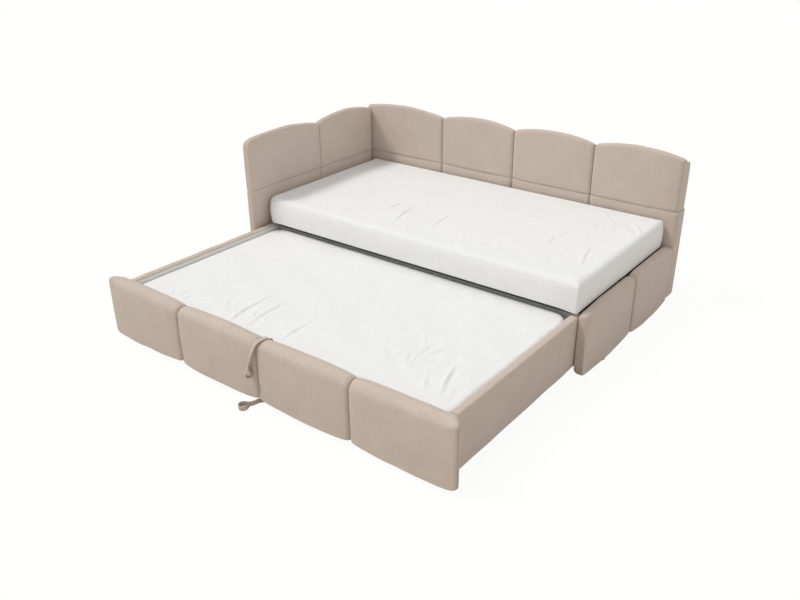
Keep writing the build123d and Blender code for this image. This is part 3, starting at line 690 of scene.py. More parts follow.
@dataclass
class Puff:
    """A stuffed block with crowned sides, ends drawn in to the seams and round edges.

    Its section is a rounded rectangle. Each side moves in by its draw times one minus its
    fullness, and by its turn at each end. The crest falls from the near side to the far one, and
    the stretch moves the block's two ends out of the node's box. The near foot is the radius of
    the lower near edge. The board is a node that the top never sinks into.
    """

    name: str
    node: str
    run: Run
    near: Side
    far: Side
    top: Side
    bottom: Side
    top_radius: float
    bottom_radius: float
    far_radius: float = 0.0
    near_foot: float = 0.0
    board: str = ""
    fall: float = 0.0
    stretch: tuple[float, float] = (0.0, 0.0)
    unevenness: float = 0.9 * MM
    uneven_wave: float = 0.16
    pucker: float = 0.8 * MM
    pucker_wave: float = 0.034
    pucker_reach: float = 0.04
    fill: float = 0.85
    body: str = "bed"
    seed: int = 1
    corner_steps: int = 6
    tall_steps: int = 16
    wide_steps: int = 6
    station_steps: int = 58
    even_share: float = 0.12

    def section(self) -> tuple[np.ndarray, np.ndarray, np.ndarray, np.ndarray]:
        """The section's points as places on its core rectangle, from -1 to 1, and outward normals.

        Returns:
            Core place across, core place up, normal across and normal up.
        """
        signs = [(1, 1), (-1, 1), (-1, -1), (1, -1)]
        parts = []
        for quarter, (across, up) in enumerate(signs):
            angle = np.linspace(quarter, quarter + 1, self.corner_steps + 1) * math.pi / 2
            corner = np.stack([np.full_like(angle, across), np.full_like(angle, up),
                               np.cos(angle), np.sin(angle)], axis=1)
            following = signs[(quarter + 1) % len(signs)]
            steps = self.wide_steps if quarter % 2 == 0 else self.tall_steps
            share = np.linspace(0, 1, steps + 1)[1:-1, None]
            ends = np.array([[across, up], following], float)
            core = ends[0] + (ends[1] - ends[0]) * share
            normal = np.repeat(corner[-1:, 2:], len(core), axis=0)
            parts += [corner, np.concatenate([core, normal], axis=1)]
        table = np.concatenate(parts)
        return table[:, 0], table[:, 1], table[:, 2], table[:, 3]

    def rings(self) -> np.ndarray:
        """The block's points as rings, in the order that loft_faces takes them."""
        low, high = (np.array(corner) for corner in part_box(self.node))
        axis, side = (0, 1) if self.run is Run.ALONG else (1, 0)
        low[axis] -= self.stretch[0]
        high[axis] += self.stretch[1]
        length = high[axis] - low[axis]
        share = np.linspace(0, 1, self.station_steps + 1)[:, None]
        eased = (1 - np.cos(math.pi * share)) / 2
        place = length * (self.even_share * share + (1 - self.even_share) * eased)
        across, up, normal_across, normal_up = self.section()
        rise = (up + 1) / 2
        near = low[side] + self.near.inset(place, length, rise)
        far = high[side] - self.far.inset(place, length, rise)
        sill = low[2] + self.bottom.inset(place, length, rise)
        crest = high[2] - self.top.inset(place, length, np.ones_like(rise)) - self.fall * (across + 1) / 2
        half, tall = (far - near) / 2, (crest - sill) / 2
        top_radius = np.where(across > 0, self.far_radius or self.top_radius, self.top_radius)
        foot_radius = np.where(across < 0, self.near_foot or self.bottom_radius, self.bottom_radius)
        radius = foot_radius + (top_radius - foot_radius) * rise
        radius = np.minimum(radius, np.minimum(half, tall) * MOST_ROUND)
        full = self.near.fullness(place, length)
        side_bow = np.where(normal_across > 0, self.far.bow, self.near.bow)
        level_bow = np.where(normal_up > 0, self.top.bow, self.bottom.bow)
        wide = (near + far) / 2 + across * (half - radius) + radius * normal_across
        wide = wide + side_bow * full * normal_across * (1 - up ** 2)
        z = (sill + crest) / 2 + up * (tall - radius) + radius * normal_up
        z = z + level_bow * full * normal_up * (1 - across ** 2)
        if self.board:
            z = np.where(normal_up > FACES_UP, np.maximum(z, self.over_board(wide, side)), z)
        rings = np.empty((*wide.shape, 3))
        rings[..., axis] = low[axis] + place
        rings[..., side] = wide
        rings[..., 2] = z
        return self.soften(rings, place, length)

    def over_board(self, across: np.ndarray, side: int) -> np.ndarray:
        """The lowest that the cover may lie over the board inside, falling away as a square beside it.

        Args:
            across: Places across the puff.
            side: The number of that axis.

        Returns:
            The height at each place.
        """
        low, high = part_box(self.board)
        half = (high[side] - low[side]) / 2 + BOARD_COVER
        beside = np.abs(across - (low[side] + high[side]) / 2) - half
        return high.z + BOARD_COVER - BOARD_FALL * (beside.clip(0, 1) / BOARD_FALL_REACH) ** 2

    def soften(self, rings: np.ndarray, place: np.ndarray, length: float) -> np.ndarray:
        """Adds slow unevenness and small puckers that fade away from the seams.

        Args:
            rings: The block's points.
            place: The distance of each ring from the start.
            length: The block's length.

        Returns:
            The moved points.
        """
        edge = np.minimum(place, length - place)
        slow = ripples(rings, self.uneven_wave, self.seed) * self.unevenness
        drawn = np.ones(3)
        drawn[0 if self.run is Run.ALONG else 1] = PUCKER_DRAW
        tight = ripples(rings * drawn, self.pucker_wave, self.seed + PUCKER_SEED) * self.pucker
        near = np.exp(-edge / self.pucker_reach) * (1 - np.exp(-edge / (self.pucker_reach / 8)))
        lift = slow * (1 - np.exp(-edge / (self.pucker_reach / 2))) + tight * near
        return rings + grid_normals(rings) * lift[..., None]

    def build(self) -> bpy.types.Object:
        """Makes the piece, with flat rings that close each end on a pole.

        Returns:
            The piece, riding on its body.
        """
        body = self.rings()
        rings, points = capped(body, END_RINGS)
        middle = body[len(body) // 2]
        around = running(np.concatenate([middle, middle[:1]]))
        along = running(rings.mean(axis=1), LEAST_STEP)
        faces, cloth = loft_faces(len(rings), rings.shape[1], along, around)
        piece = mesh_piece(self.name, points, faces, cloth)
        dress(piece, "beige_fabric", self.body, self.node)
        return piece


def dress(piece: bpy.types.Object, slot: str, body: str, *nodes: str) -> None:
    """Gives a piece its finish, the body that it rides on and the nodes that it stands for.

    Args:
        piece: The piece.
        slot: The record's material slot.
        body: The body's name.
        nodes: The nodes that it replaces.
    """
    piece.data.materials.append(MATERIALS[slot])
    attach(piece, body)
    if nodes:
        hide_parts(*nodes)


MATERIALS: dict[str, bpy.types.Material] = {}


# Upholstered panels


@dataclass
class TallPanel:
    """What the headboard and the back share: flatter pads under the seam at the cushions' feet."""

    seam_drop: float
    hem_draw: float = 10.0 * MM
    pad_recess: float = 7.0 * MM
    pad_bow: float = 2.0 * MM
    pad_edge: tuple[float, float] = (10.0 * MM, 12.0 * MM)
    pad_fill: float = 0.7

    def pad(
        self, name: str, node: str, run: Run, near: Side, far: Side, seed: int, stretch: tuple[float, float]
    ) -> bpy.types.Object:
        """Makes one lower pad.

        Args:
            name: Its name.
            node: The node that it stands for.
            run: The direction of its row.
            near: Its near side.
            far: Its far side.
            seed: The seed of its unevenness.
            stretch: How far its two ends move out.

        Returns:
            The piece.
        """
        hem = Side(self.hem_draw, self.hem_draw, self.pad_bow)
        return Puff(name, node, run, near, far, Side(outset=-self.seam_drop), hem, *self.pad_edge,
                    stretch=stretch, seed=seed, fill=self.pad_fill).build()


@dataclass
class Headboard(TallPanel):
    """The tall left end: two cushions over two pads, run from the nose to the back panel."""

    seam_drop: float = 9.0 * MM
    outer_draw: float = 7.0 * MM
    nose_draw: float = 3.0 * MM
    inner_draw: float = 5.0 * MM
    pad_draw: float = 2.0 * MM
    bow: float = 5.0 * MM
    arch: float = 38.0 * MM
    seam_arch: float = 32.0 * MM
    nose_arch: float = 18.0 * MM
    crest_bow: float = 3.0 * MM
    rise: float = 2.0 * MM
    seam_shift: float = 14.0 * MM
    nose: Turn = Turn(9.0 * MM, 7.0 * MM)
    nose_top: Turn = Turn(54.0 * MM, 34.0 * MM)
    crease: Turn = Turn(20.0 * MM, 11.0 * MM)
    crease_top: Turn = Turn(24.0 * MM, 10.0 * MM)

    def build(self) -> list[bpy.types.Object]:
        """Makes the two cushions and the two pads."""
        pieces = []
        for seed, part in enumerate(("front", "rear"), 10):
            if part == "front":
                start, start_top, stretch = self.nose, self.nose_top, (0.0, self.seam_shift)
                start_draw, start_arch = self.nose_draw, self.nose_arch
            else:
                start, start_top, stretch = self.crease, self.crease_top, (-self.seam_shift, 0.0)
                start_draw, start_arch = self.outer_draw, self.seam_arch
            outer = Side(start_draw, self.outer_draw, self.bow, start, self.crease)
            inner = Side(self.inner_draw, self.inner_draw, self.bow, start, self.crease)
            crest = Side(start_arch, self.arch, self.crest_bow, start_top, self.crease_top, self.rise,
                         power=2.0, root=1.0)
            pieces.append(Puff(
                "headboard_puff_" + part, "headboard_cushion_" + part, Run.ACROSS, outer, inner, crest,
                Side(outset=self.seam_drop), 16.0 * MM, 17.0 * MM, seed=seed, stretch=stretch,
            ).build())
            inner = Side(self.pad_draw, self.pad_draw, self.pad_bow, start, self.crease, -self.pad_recess)
            pieces.append(self.pad("headboard_base_" + part, "headboard_pad_" + part, Run.ACROSS,
                                   outer, inner, seed + 20, stretch))
        return pieces


@dataclass
class BackPanel(TallPanel):
    """The tall back: four cushions over four pads along the whole bed.

    The cushions' tops arch as parabolas and fall from the front to the rear.
    """

    seam_drop: float = 11.0 * MM
    face_draw: float = 13.0 * MM
    pad_draw: float = 3.0 * MM
    bow: float = 5.0 * MM
    rear_bow: float = 4.0 * MM
    arch: float = 35.0 * MM
    crest_bow: float = 3.0 * MM
    rise: float = 12.0 * MM
    fall: float = 56.0 * MM
    last_stretch: float = 6.0 * MM
    outer: Turn = Turn(17.0 * MM, 14.0 * MM)
    outer_top: Turn = Turn(22.0 * MM, 14.0 * MM)
    crease: Turn = Turn(22.0 * MM, 14.0 * MM)
    crease_top: Turn = Turn(32.0 * MM, 14.0 * MM)
    count: int = 4

    def build(self) -> list[bpy.types.Object]:
        """Makes the four cushions and the four pads."""
        pieces = []
        for number in range(1, self.count + 1):
            first, last = number == 1, number == self.count
            start, start_top = (self.outer, self.outer_top) if first else (self.crease, self.crease_top)
            end, end_top = (self.outer, self.outer_top) if last else (self.crease, self.crease_top)
            face = Side(self.face_draw, self.face_draw, self.bow, start, end)
            crest = Side(self.arch, self.arch, self.crest_bow, start_top, end_top, self.rise,
                         power=2.0, root=1.0)
            pieces.append(Puff(
                f"back_puff_{number}", f"back_cushion_{number}", Run.ALONG, face, face, crest,
                Side(outset=self.seam_drop), 20.0 * MM, 19.0 * MM, far_radius=48.0 * MM, fall=self.fall,
                board="back_core", seed=40 + number,
            ).build())
            near = Side(self.pad_draw, self.pad_draw, self.pad_bow, start, end, -self.pad_recess)
            far = Side(self.face_draw, self.face_draw, self.rear_bow, start, end)
            pieces.append(self.pad(f"back_base_{number}", f"back_pad_{number}", Run.ALONG, near, far,
                                   60 + number, (0.0, self.last_stretch if last else 0.0)))
        return pieces


@dataclass
class EndPanel:
    """The low right end: two pads with scalloped tops and hems, the front one with a round shoulder."""

    outer_draw: float = 3.0 * MM
    bow: float = 4.0 * MM
    top_draw: float = 13.0 * MM
    hem_draw: float = 24.0 * MM
    to_mattress: float = 5.0 * MM
    hem_outset: float = 3.0 * MM
    seam_shift: float = 40.0 * MM
    rear_stretch: float = 16.0 * MM
    rear_outset: float = 8.0 * MM
    near_foot: float = 26.0 * MM
    shoulder_left: float = 0.08
    shoulder: Turn = Turn(44.0 * MM, 27.0 * MM)
    shoulder_top: Turn = Turn(40.0 * MM, 18.0 * MM)
    foot: Turn = Turn(4.0 * MM, 3.0 * MM)
    crease: Turn = Turn(14.0 * MM, 8.0 * MM)
    crease_top: Turn = Turn(44.0 * MM, 16.0 * MM)
    rear: Turn = Turn(16.0 * MM, 12.0 * MM)

    def build(self) -> list[bpy.types.Object]:
        """Makes the two pads."""
        pieces = []
        hem = Side(self.hem_draw, self.hem_draw, 0.0, self.foot, self.foot, self.hem_outset,
                   power=2.0, root=1.6)
        for seed, part in enumerate(("front", "rear"), 80):
            front = part == "front"
            start, start_top = (self.shoulder, self.shoulder_top) if front else (self.crease, self.crease_top)
            pieces.append(Puff(
                "end_puff_" + part, "end_pad_" + part, Run.ACROSS,
                Side(start=self.foot, end=self.foot, outset=self.to_mattress),
                Side(self.outer_draw, self.outer_draw, self.bow, start, self.crease if front else self.rear,
                     0.0 if front else self.rear_outset, low_share=self.shoulder_left if front else 1.0),
                Side(self.top_draw, self.top_draw, self.bow, start_top, self.crease_top),
                hem, 15.0 * MM, 5.0 * MM, near_foot=self.near_foot, seed=seed,
                stretch=(0.0, self.seam_shift) if front else (-self.seam_shift, self.rear_stretch),
            ).build())
        return pieces


# Mattresses


FADE_OUT = 0.15
FADE_POWER = 1.3
HOLLOW_ASIDE = 1.5
HOLLOW_WIDTH = 1.2
HOLLOW_DEPTH = 0.55
PRESS = 3.0 * MM
SWELL_LONG = 3
SWELL_WIDE = 2.4
SAG_START = 0.9
SAG_REACH = 0.08
BULGE_START = 0.12
HEM_STEPS = 4
UNDER_RINGS = (0.85, 0.45)


@dataclass(frozen=True)
class Fold:
    """A raised fold in a mattress cover, from one place on its top to another."""

    start: tuple[float, float]
    end: tuple[float, float]
    height: float = 4.0 * MM
    width: float = 14.0 * MM
    bend: float = 0.0

    def lift(self, x: np.ndarray, y: np.ndarray) -> np.ndarray:
        """How far the fold lifts the cover.

        The distance from the fold's line, bent by a parabola, goes through a bell with a shallower
        hollow beside it, and the ends fade out over a sine.

        Args:
            x: Places along the bed.
            y: Places across it.

        Returns:
            The lift at each place.
        """
        run = np.array(self.end) - np.array(self.start)
        length = float(np.hypot(*run))
        along = ((x - self.start[0]) * run[0] + (y - self.start[1]) * run[1]) / length ** 2
        aside = ((x - self.start[0]) * run[1] - (y - self.start[1]) * run[0]) / length
        aside = (aside + self.bend * 4 * along * (1 - along)) / self.width
        fade = np.sin(math.pi * ((along + FADE_OUT) / (1 + 2 * FADE_OUT)).clip(0, 1)) ** FADE_POWER
        hollow = np.exp(-((aside - HOLLOW_ASIDE) / HOLLOW_WIDTH) ** 2)
        return self.height * fade * (np.exp(-aside ** 2) - HOLLOW_DEPTH * hollow)


@dataclass
class Mattress:
    """A mattress in a loose white cover: round corners, soft edges, a crown and folds.

    Its top is a grid over the plan, whose corners are turned round by moving each point along its
    own direction from the corner's centre. Its wall goes down from the grid's border in rings.
    What rises near the ceiling is pressed flat below it.
    The corners' radii run from the front left one round to the rear left one.
    """

    name: str
    node: str
    body: str
    corners: tuple[float, float, float, float]
    edge: float
    rear_edge: float
    hem: float
    crown: float
    bulge: float
    folds: list[Fold]
    seed: int
    sag: float = 0.0
    ceiling: float = 1.0
    unevenness: float = 1.5 * MM
    uneven_wave: float = 0.21
    step: float = 5.5 * MM
    turn_steps: int = 8
    wall_steps: int = 16
    fill: float = 0.8

    def lines(self, half: float) -> np.ndarray:
        """Grid lines across the plan, closer together where the edge turns down.

        Args:
            half: Half the plan's size in that direction.

        Returns:
            Places from minus half to half.
        """
        turn = self.edge * (1 - np.cos(np.linspace(0, math.pi / 2, self.turn_steps)))
        inner = half - self.edge
        middle = np.linspace(-inner, inner, int(2 * inner / self.step) + 1)[1:-1]
        return np.concatenate([-half + turn, middle, (half - turn)[::-1]])

    def plan(self, x: np.ndarray, y: np.ndarray, half: np.ndarray) -> tuple[np.ndarray, ...]:
        """Turns a square plan's corners round.

        Args:
            x: Places along the bed from the middle.
            y: Places across it from the middle.
            half: The plan's half sizes.

        Returns:
            The moved places, the distance in from the border, and the outward direction.
        """
        front_left, front_right, rear_right, rear_left = self.corners
        front, rear = np.where(x < 0, front_left, front_right), np.where(x < 0, rear_left, rear_right)
        corner = np.where(y < 0, front, rear)
        inner = half[0] - corner, half[1] - corner
        core_x, core_y = np.clip(x, -inner[0], inner[0]), np.clip(y, -inner[1], inner[1])
        away_x, away_y = x - core_x, y - core_y
        reach = np.maximum(np.abs(away_x), np.abs(away_y))
        span = np.maximum(np.hypot(away_x, away_y), 1e-9)
        both = (np.abs(away_x) > 0) & (np.abs(away_y) > 0)
        scale = np.where(both, reach / span, 1.0)
        new_x, new_y = core_x + away_x * scale, core_y + away_y * scale
        to_side, to_end = half[0] - np.abs(x), half[1] - np.abs(y)
        depth = np.where(both, corner - reach, np.minimum(to_side, to_end))
        sideways = to_side <= to_end
        plain = np.stack([np.where(sideways, np.sign(x), 0.0), np.where(sideways, 0.0, np.sign(y))], -1)
        out = np.where(both[..., None], np.stack([away_x, away_y], -1) / span[..., None], plain)
        return new_x, new_y, depth, out

    def build(self) -> bpy.types.Object:
        """Makes the piece.

        Returns:
            The piece, riding on its body.
        """
        low, high = (np.array(corner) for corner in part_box(self.node))
        centre, half = (low + high) / 2, (high - low) / 2
        half = half[:2] - self.bulge
        x, y = np.meshgrid(self.lines(half[0]), self.lines(half[1]), indexing="ij")
        plan_x, plan_y, depth, out = self.plan(x, y, half)
        edge = self.edge + (self.rear_edge - self.edge) * out[..., 1].clip(0, 1) ** 2
        drop = edge - np.sqrt(np.maximum(edge ** 2 - (edge - np.minimum(depth, edge)) ** 2, 0))
        swell = (1 - np.abs(plan_x / half[0]) ** SWELL_LONG) * (1 - np.abs(plan_y / half[1]) ** SWELL_WIDE)
        z = high[2] - self.crown * (1 - swell.clip(0, 1)) - drop
        world_x, world_y = plan_x + centre[0], plan_y + centre[1]
        places = np.stack([world_x, world_y, np.zeros_like(z)], -1)
        lift = sum(fold.lift(world_x, world_y) for fold in self.folds)
        lift = lift + ripples(places, self.uneven_wave, self.seed) * self.unevenness
        lift = lift + ripples(places, self.uneven_wave / 3, self.seed + 1) * self.unevenness / 3
        z = z + lift * (depth / (2 * self.edge)).clip(0, 1)
        free = self.ceiling - PRESS
        z = np.minimum(z, free) + PRESS * np.tanh((z - free).clip(0, 1) / PRESS)
        return self.close(np.stack([world_x, world_y, z], -1), out, low[2])

    def close(self, top: np.ndarray, out: np.ndarray, floor: float) -> bpy.types.Object:
        """Adds the wall and the underside to the top, and makes the piece.

        Args:
            top: The grid's points.
            out: The outward direction at each.
            floor: The height of the mattress's underside.

        Returns:
            The piece, riding on its body.
        """
        index = np.arange(top[..., 0].size).reshape(top.shape[:2])
        border = np.concatenate([index[:, 0], index[-1, 1:], index[-2::-1, -1], index[0, -2:0:-1]])
        count = len(border)
        top, out = top.reshape(-1, 3), out.reshape(-1, 2)
        wall = self.wall(top[border], out[border], floor)
        points = np.concatenate([top, wall.reshape(-1, 3), wall[-1].mean(axis=0)[None]])
        cover = np.stack([index[:-1, :-1], index[1:, :-1], index[1:, 1:], index[:-1, 1:]], -1).reshape(-1, 4)
        around = running(np.concatenate([wall[0], wall[:1, 0]]))
        numbers = np.concatenate([border, np.arange(len(top), len(points) - 1)])
        ladder = running(points[numbers[::count]])
        faces, cloth = loft_faces(len(ladder), count, ladder, around)
        numbers = np.concatenate([numbers, [0, len(points) - 1]])
        faces[1], cloth[1] = faces[1][count:], cloth[1][count:]
        faces = [cover] + [np.roll(numbers[group][:, ::-1], 1, axis=1) for group in faces]
        cloth = [points[cover][..., :2]] + [np.roll(group[:, ::-1, ::-1], 1, axis=1) for group in cloth]
        piece = mesh_piece(self.name, points, faces, cloth, levels=0)
        dress(piece, "mattress_linen", self.body, self.node)
        return piece

    def wall(self, border: np.ndarray, out: np.ndarray, floor: float) -> np.ndarray:
        """The rings down the wall, under the hem and in towards the middle.

        The wall bulges as a sine between its top and its hem, and the hem turns under in a quarter
        round. Shallow upright gathers run round it.

        Args:
            border: The border of the top, in order.
            out: The outward direction at each border point.
            floor: The height of the mattress's underside.

        Returns:
            The rings, from the top down.
        """
        share = np.linspace(0, 1, self.wall_steps + 1)[1:, None]
        middle_x = (border[:, 0].max() + border[:, 0].min()) / 2
        beyond = np.abs(border[:, 0] - middle_x) / (np.ptp(border[:, 0]) / 2)
        hem_line = floor - self.sag * ((beyond - SAG_START) / SAG_REACH).clip(0, 1)
        sill = hem_line + self.hem
        z = border[None, :, 2] * (1 - share) + sill * share
        around = running(np.concatenate([border, border[:1]]))[None, 1:]
        gather = np.sin(around / 0.047 + 1.3 * np.sin(around / 0.31)) * 0.8 * MM
        gather = gather + np.sin(around / 0.113 + self.seed) * 1.1 * MM
        bulge = self.bulge * np.sin(math.pi * (BULGE_START + (1 - BULGE_START) * share))
        push = bulge + gather * np.sin(math.pi * share)
        sides = border[None, :, :2] + out[None] * push[..., None]
        angle = np.linspace(0, math.pi / 2, HEM_STEPS + 1)[1:, None]
        tuck = self.hem * (1 - np.cos(angle))
        under = border[None, :, :2] - out[None] * tuck[..., None]
        low_z = sill - self.hem * np.sin(angle)
        middle = border[:, :2].mean(axis=0)
        shrink = np.array(UNDER_RINGS)[:, None, None]
        inner = middle + (under[-1:] - middle) * shrink
        inner_z = np.full((len(inner), len(border)), floor)
        plan = np.concatenate([sides, under, inner])
        height = np.concatenate([z, low_z, inner_z])
        return np.concatenate([plan, height[..., None]], axis=-1)


def small_folds(
    seed: int, count: int, low: tuple[float, float], high: tuple[float, float], height: float, lean: float
) -> list[Fold]:
    """Faint folds strewn over part of a cover, most of them across the bed.

    Args:
        seed: The seed of their places.
        count: How many.
        low: The area's low corner.
        high: The area's high corner.
        height: The tallest fold's height.
        lean: How far they lean to the right, in radians.

    Returns:
        The folds.
    """
    rng = np.random.default_rng(seed)
    folds = []
    for _ in range(count):
        x, y = rng.uniform(low, high)
        heading = rng.normal(lean, 0.35)
        reach = rng.uniform(0.05, 0.15)
        end = (x + reach * math.sin(heading), y + reach * math.cos(heading))
        width = rng.uniform(5.0, 10.0) * MM
        folds.append(Fold((x, y), end, height * rng.uniform(0.3, 1.0), width, rng.normal(0, 4.0) * MM))
    return folds


def main_folds() -> list[Fold]:
    """The folds that show in the upper mattress's cover."""
    strewn = small_folds(3, 46, (-0.95, 0.06), (0.93, 0.90), 1.8 * MM, -0.1)
    strewn += small_folds(4, 16, (0.70, 0.55), (0.97, 0.90), 3.0 * MM, -0.6)
    strewn += small_folds(5, 22, (-0.90, 0.02), (0.90, 0.10), 3.0 * MM, 0.1)
    return strewn + [
        Fold((-0.300, 0.250), (-0.290, 0.420), 6.0 * MM, 9 * MM, 6 * MM),
        Fold((-0.150, 0.110), (-0.195, 0.390), 7.5 * MM, 9 * MM, 8 * MM),
        Fold((0.060, 0.180), (0.035, 0.400), 6.0 * MM, 9 * MM, 6 * MM),
        Fold((-0.500, 0.100), (-0.455, 0.240), 3.8 * MM, 10 * MM),
        Fold((0.915, 0.850), (0.985, 0.700), 6.8 * MM, 8 * MM, 5 * MM),
        Fold((0.870, 0.880), (0.950, 0.760), 5.2 * MM, 8 * MM, 4 * MM),
        Fold((0.650, 0.340), (0.640, 0.480), 5.2 * MM, 9 * MM),
        Fold((0.660, 0.400), (0.680, 0.610), 4.5 * MM, 10 * MM, 8 * MM),
        Fold((0.905, 0.220), (0.855, 0.390), 6.0 * MM, 9 * MM, 6 * MM),
        Fold((0.900, 0.505), (0.990, 0.500), 4.5 * MM, 9 * MM),
    ]


def trundle_folds() -> list[Fold]:
    """The folds that show in the trundle mattress's cover."""
    strewn = small_folds(6, 40, (-0.90, -0.88), (0.88, -0.05), 1.8 * MM, 0.0)
    strewn += small_folds(7, 26, (-0.72, -0.93), (-0.05, -0.84), 3.6 * MM, -0.1)
    strewn += small_folds(8, 14, (0.45, -0.92), (0.90, -0.60), 3.4 * MM, -0.2)
    return strewn + [
        Fold((-0.465, -0.930), (-0.488, -0.780), 4.5 * MM, 9 * MM),
        Fold((-0.285, -0.930), (-0.305, -0.640), 9.0 * MM, 9 * MM, 8 * MM),
        Fold((-0.180, -0.920), (-0.200, -0.670), 9.0 * MM, 9 * MM, 6 * MM),
        Fold((-0.680, -0.930), (-0.684, -0.830), 4.5 * MM, 8 * MM),
        Fold((-0.622, -0.940), (-0.640, -0.850), 4.5 * MM, 8 * MM),
        Fold((0.038, -0.900), (0.032, -0.730), 6.0 * MM, 9 * MM, 5 * MM),
        Fold((0.602, -0.670), (0.596, -0.560), 4.5 * MM, 9 * MM),
        Fold((0.628, -0.670), (0.660, -0.540), 4.5 * MM, 9 * MM),
        Fold((0.850, -0.850), (0.780, -0.640), 7.5 * MM, 10 * MM, 8 * MM),
        Fold((0.775, -0.870), (0.730, -0.770), 4.5 * MM, 9 * MM),
    ]


# Trundle


@dataclass
class TrundleFront:
    """The trundle's front panel: four cushions wrapped round its board, its ends narrowed behind."""

    face_draw: float = 15.0 * MM
    bow: float = 5.0 * MM
    hem_bow: float = 3.5 * MM
    top_draw: float = 24.0 * MM
    outer_top_draw: float = 2.0 * MM
    hem_draw: float = 20.0 * MM
    hem_inset: float = 5.0 * MM
    crease: Turn = Turn(18.0 * MM, 13.0 * MM)
    crease_back: Turn = Turn(8.0 * MM, 5.0 * MM)
    crease_top: Turn = Turn(28.0 * MM, 12.0 * MM)
    outer: Turn = Turn(15.0 * MM, 12.0 * MM)
    outer_back: Turn = Turn(56.0 * MM, 76.0 * MM, 1.2)
    outer_top: Turn = Turn(32.0 * MM, 21.0 * MM)
    foot: Turn = Turn(3.0 * MM, 1.0 * MM)
    outer_foot: Turn = Turn(40.0 * MM, 13.0 * MM)
    first_rise: float = 5.0 * MM
    count: int = 4

    def build(self) -> list[bpy.types.Object]:
        """Makes the four cushions."""
        pieces = []
        for number in range(1, self.count + 1):
            first, last = number == 1, number == self.count
            pieces.append(Puff(
                f"trundle_puff_{number}", f"trundle_cushion_{number}", Run.ALONG,
                Side(self.face_draw, self.face_draw, self.bow, self.outer if first else self.crease,
                     self.outer if last else self.crease),
                Side(start=self.outer_back if first else self.crease_back,
                     end=self.outer_back if last else self.crease_back),
                Side(self.outer_top_draw if first else self.top_draw,
                     self.outer_top_draw if last else self.top_draw, self.bow,
                     self.outer_top if first else self.crease_top,
                     self.outer_top if last else self.crease_top, self.first_rise if first else 0.0),
                Side(self.hem_draw, self.hem_draw, self.hem_bow, self.outer_foot if first else self.foot,
                     self.outer_foot if last else self.foot, -self.hem_inset * (2 if first else 1)),
                42.0 * MM, 5.0 * MM, seed=100 + number, body="trundle", corner_steps=9, wide_steps=3,
            ).build())
        return pieces


@dataclass
class TrundleSides:
    """The padded covers over the trundle's two side boards."""

    edge: float = 9.0 * MM
    rear: Turn = Turn(8.0 * MM, 6.0 * MM)

    def build(self) -> list[bpy.types.Object]:
        """Makes the left and the right cover."""
        outer = Side(1.5 * MM, 1.5 * MM, 1.0 * MM, end=self.rear)
        inner = Side(end=self.rear)
        top = Side(1.0 * MM, 1.0 * MM, 1.5 * MM, end=self.rear)
        pieces = []
        for seed, (side, near, far) in enumerate((("left", outer, inner), ("right", inner, outer)), 120):
            pieces.append(Puff(
                "trundle_side_" + side, "trundle_side_cover_" + side, Run.ACROSS, near, far, top, Side(),
                self.edge, 4.0 * MM, seed=seed, body="trundle", fill=0.4, pucker=0.2 * MM,
            ).build())
        return pieces


# Straps


STRAP_RINGS = (0.4, 0.8)
STRAP_STEPS = 24
FLAT_POWER = 0.35
THICK_POWER = 0.8
LOOP_STEPS = 40


def rounded(points: np.ndarray, rounds: int = 4) -> np.ndarray:
    """A path with its corners cut again and again, until it is smooth.

    Each step goes to a quarter and three quarters of its length, and the ends stay.

    Args:
        points: The path's places.
        rounds: How often.

    Returns:
        The smooth path.
    """
    for _ in range(rounds):
        first, second = points[:-1], points[1:]
        cut = np.stack([0.75 * first + 0.25 * second, 0.25 * first + 0.75 * second], axis=1)
        points = np.concatenate([points[:1], cut.reshape(-1, points.shape[1])[1:-1], points[-1:]])
    return points


def even_path(points: np.ndarray, step: float) -> np.ndarray:
    """A path's points again at even steps, by the running length of its first three columns.

    Args:
        points: The path.
        step: The step in metres.

    Returns:
        The even points.
    """
    lengths = running(points[:, :3])
    places = np.linspace(0, lengths[-1], int(lengths[-1] / step) + 1)
    return np.stack([np.interp(places, lengths, points[:, k]) for k in range(points.shape[1])], 1)


def teardrop(
    neck: np.ndarray, out: np.ndarray, aside: np.ndarray, length: float, radius: float
) -> np.ndarray:
    """A loop's path from its neck round an arc and back.

    Args:
        neck: Where it starts.
        out: The unit direction to its far end.
        aside: The unit direction across it.
        length: From the neck to its far end.
        radius: The radius of its far end.

    Returns:
        The path, without the neck itself.
    """
    lean = math.acos(radius / (length - radius))
    angle = np.linspace(math.pi - lean, lean - math.pi, LOOP_STEPS)[:, None]
    middle = neck + out * (length - radius)
    return middle + radius * (np.cos(angle) * out + np.sin(angle) * aside)


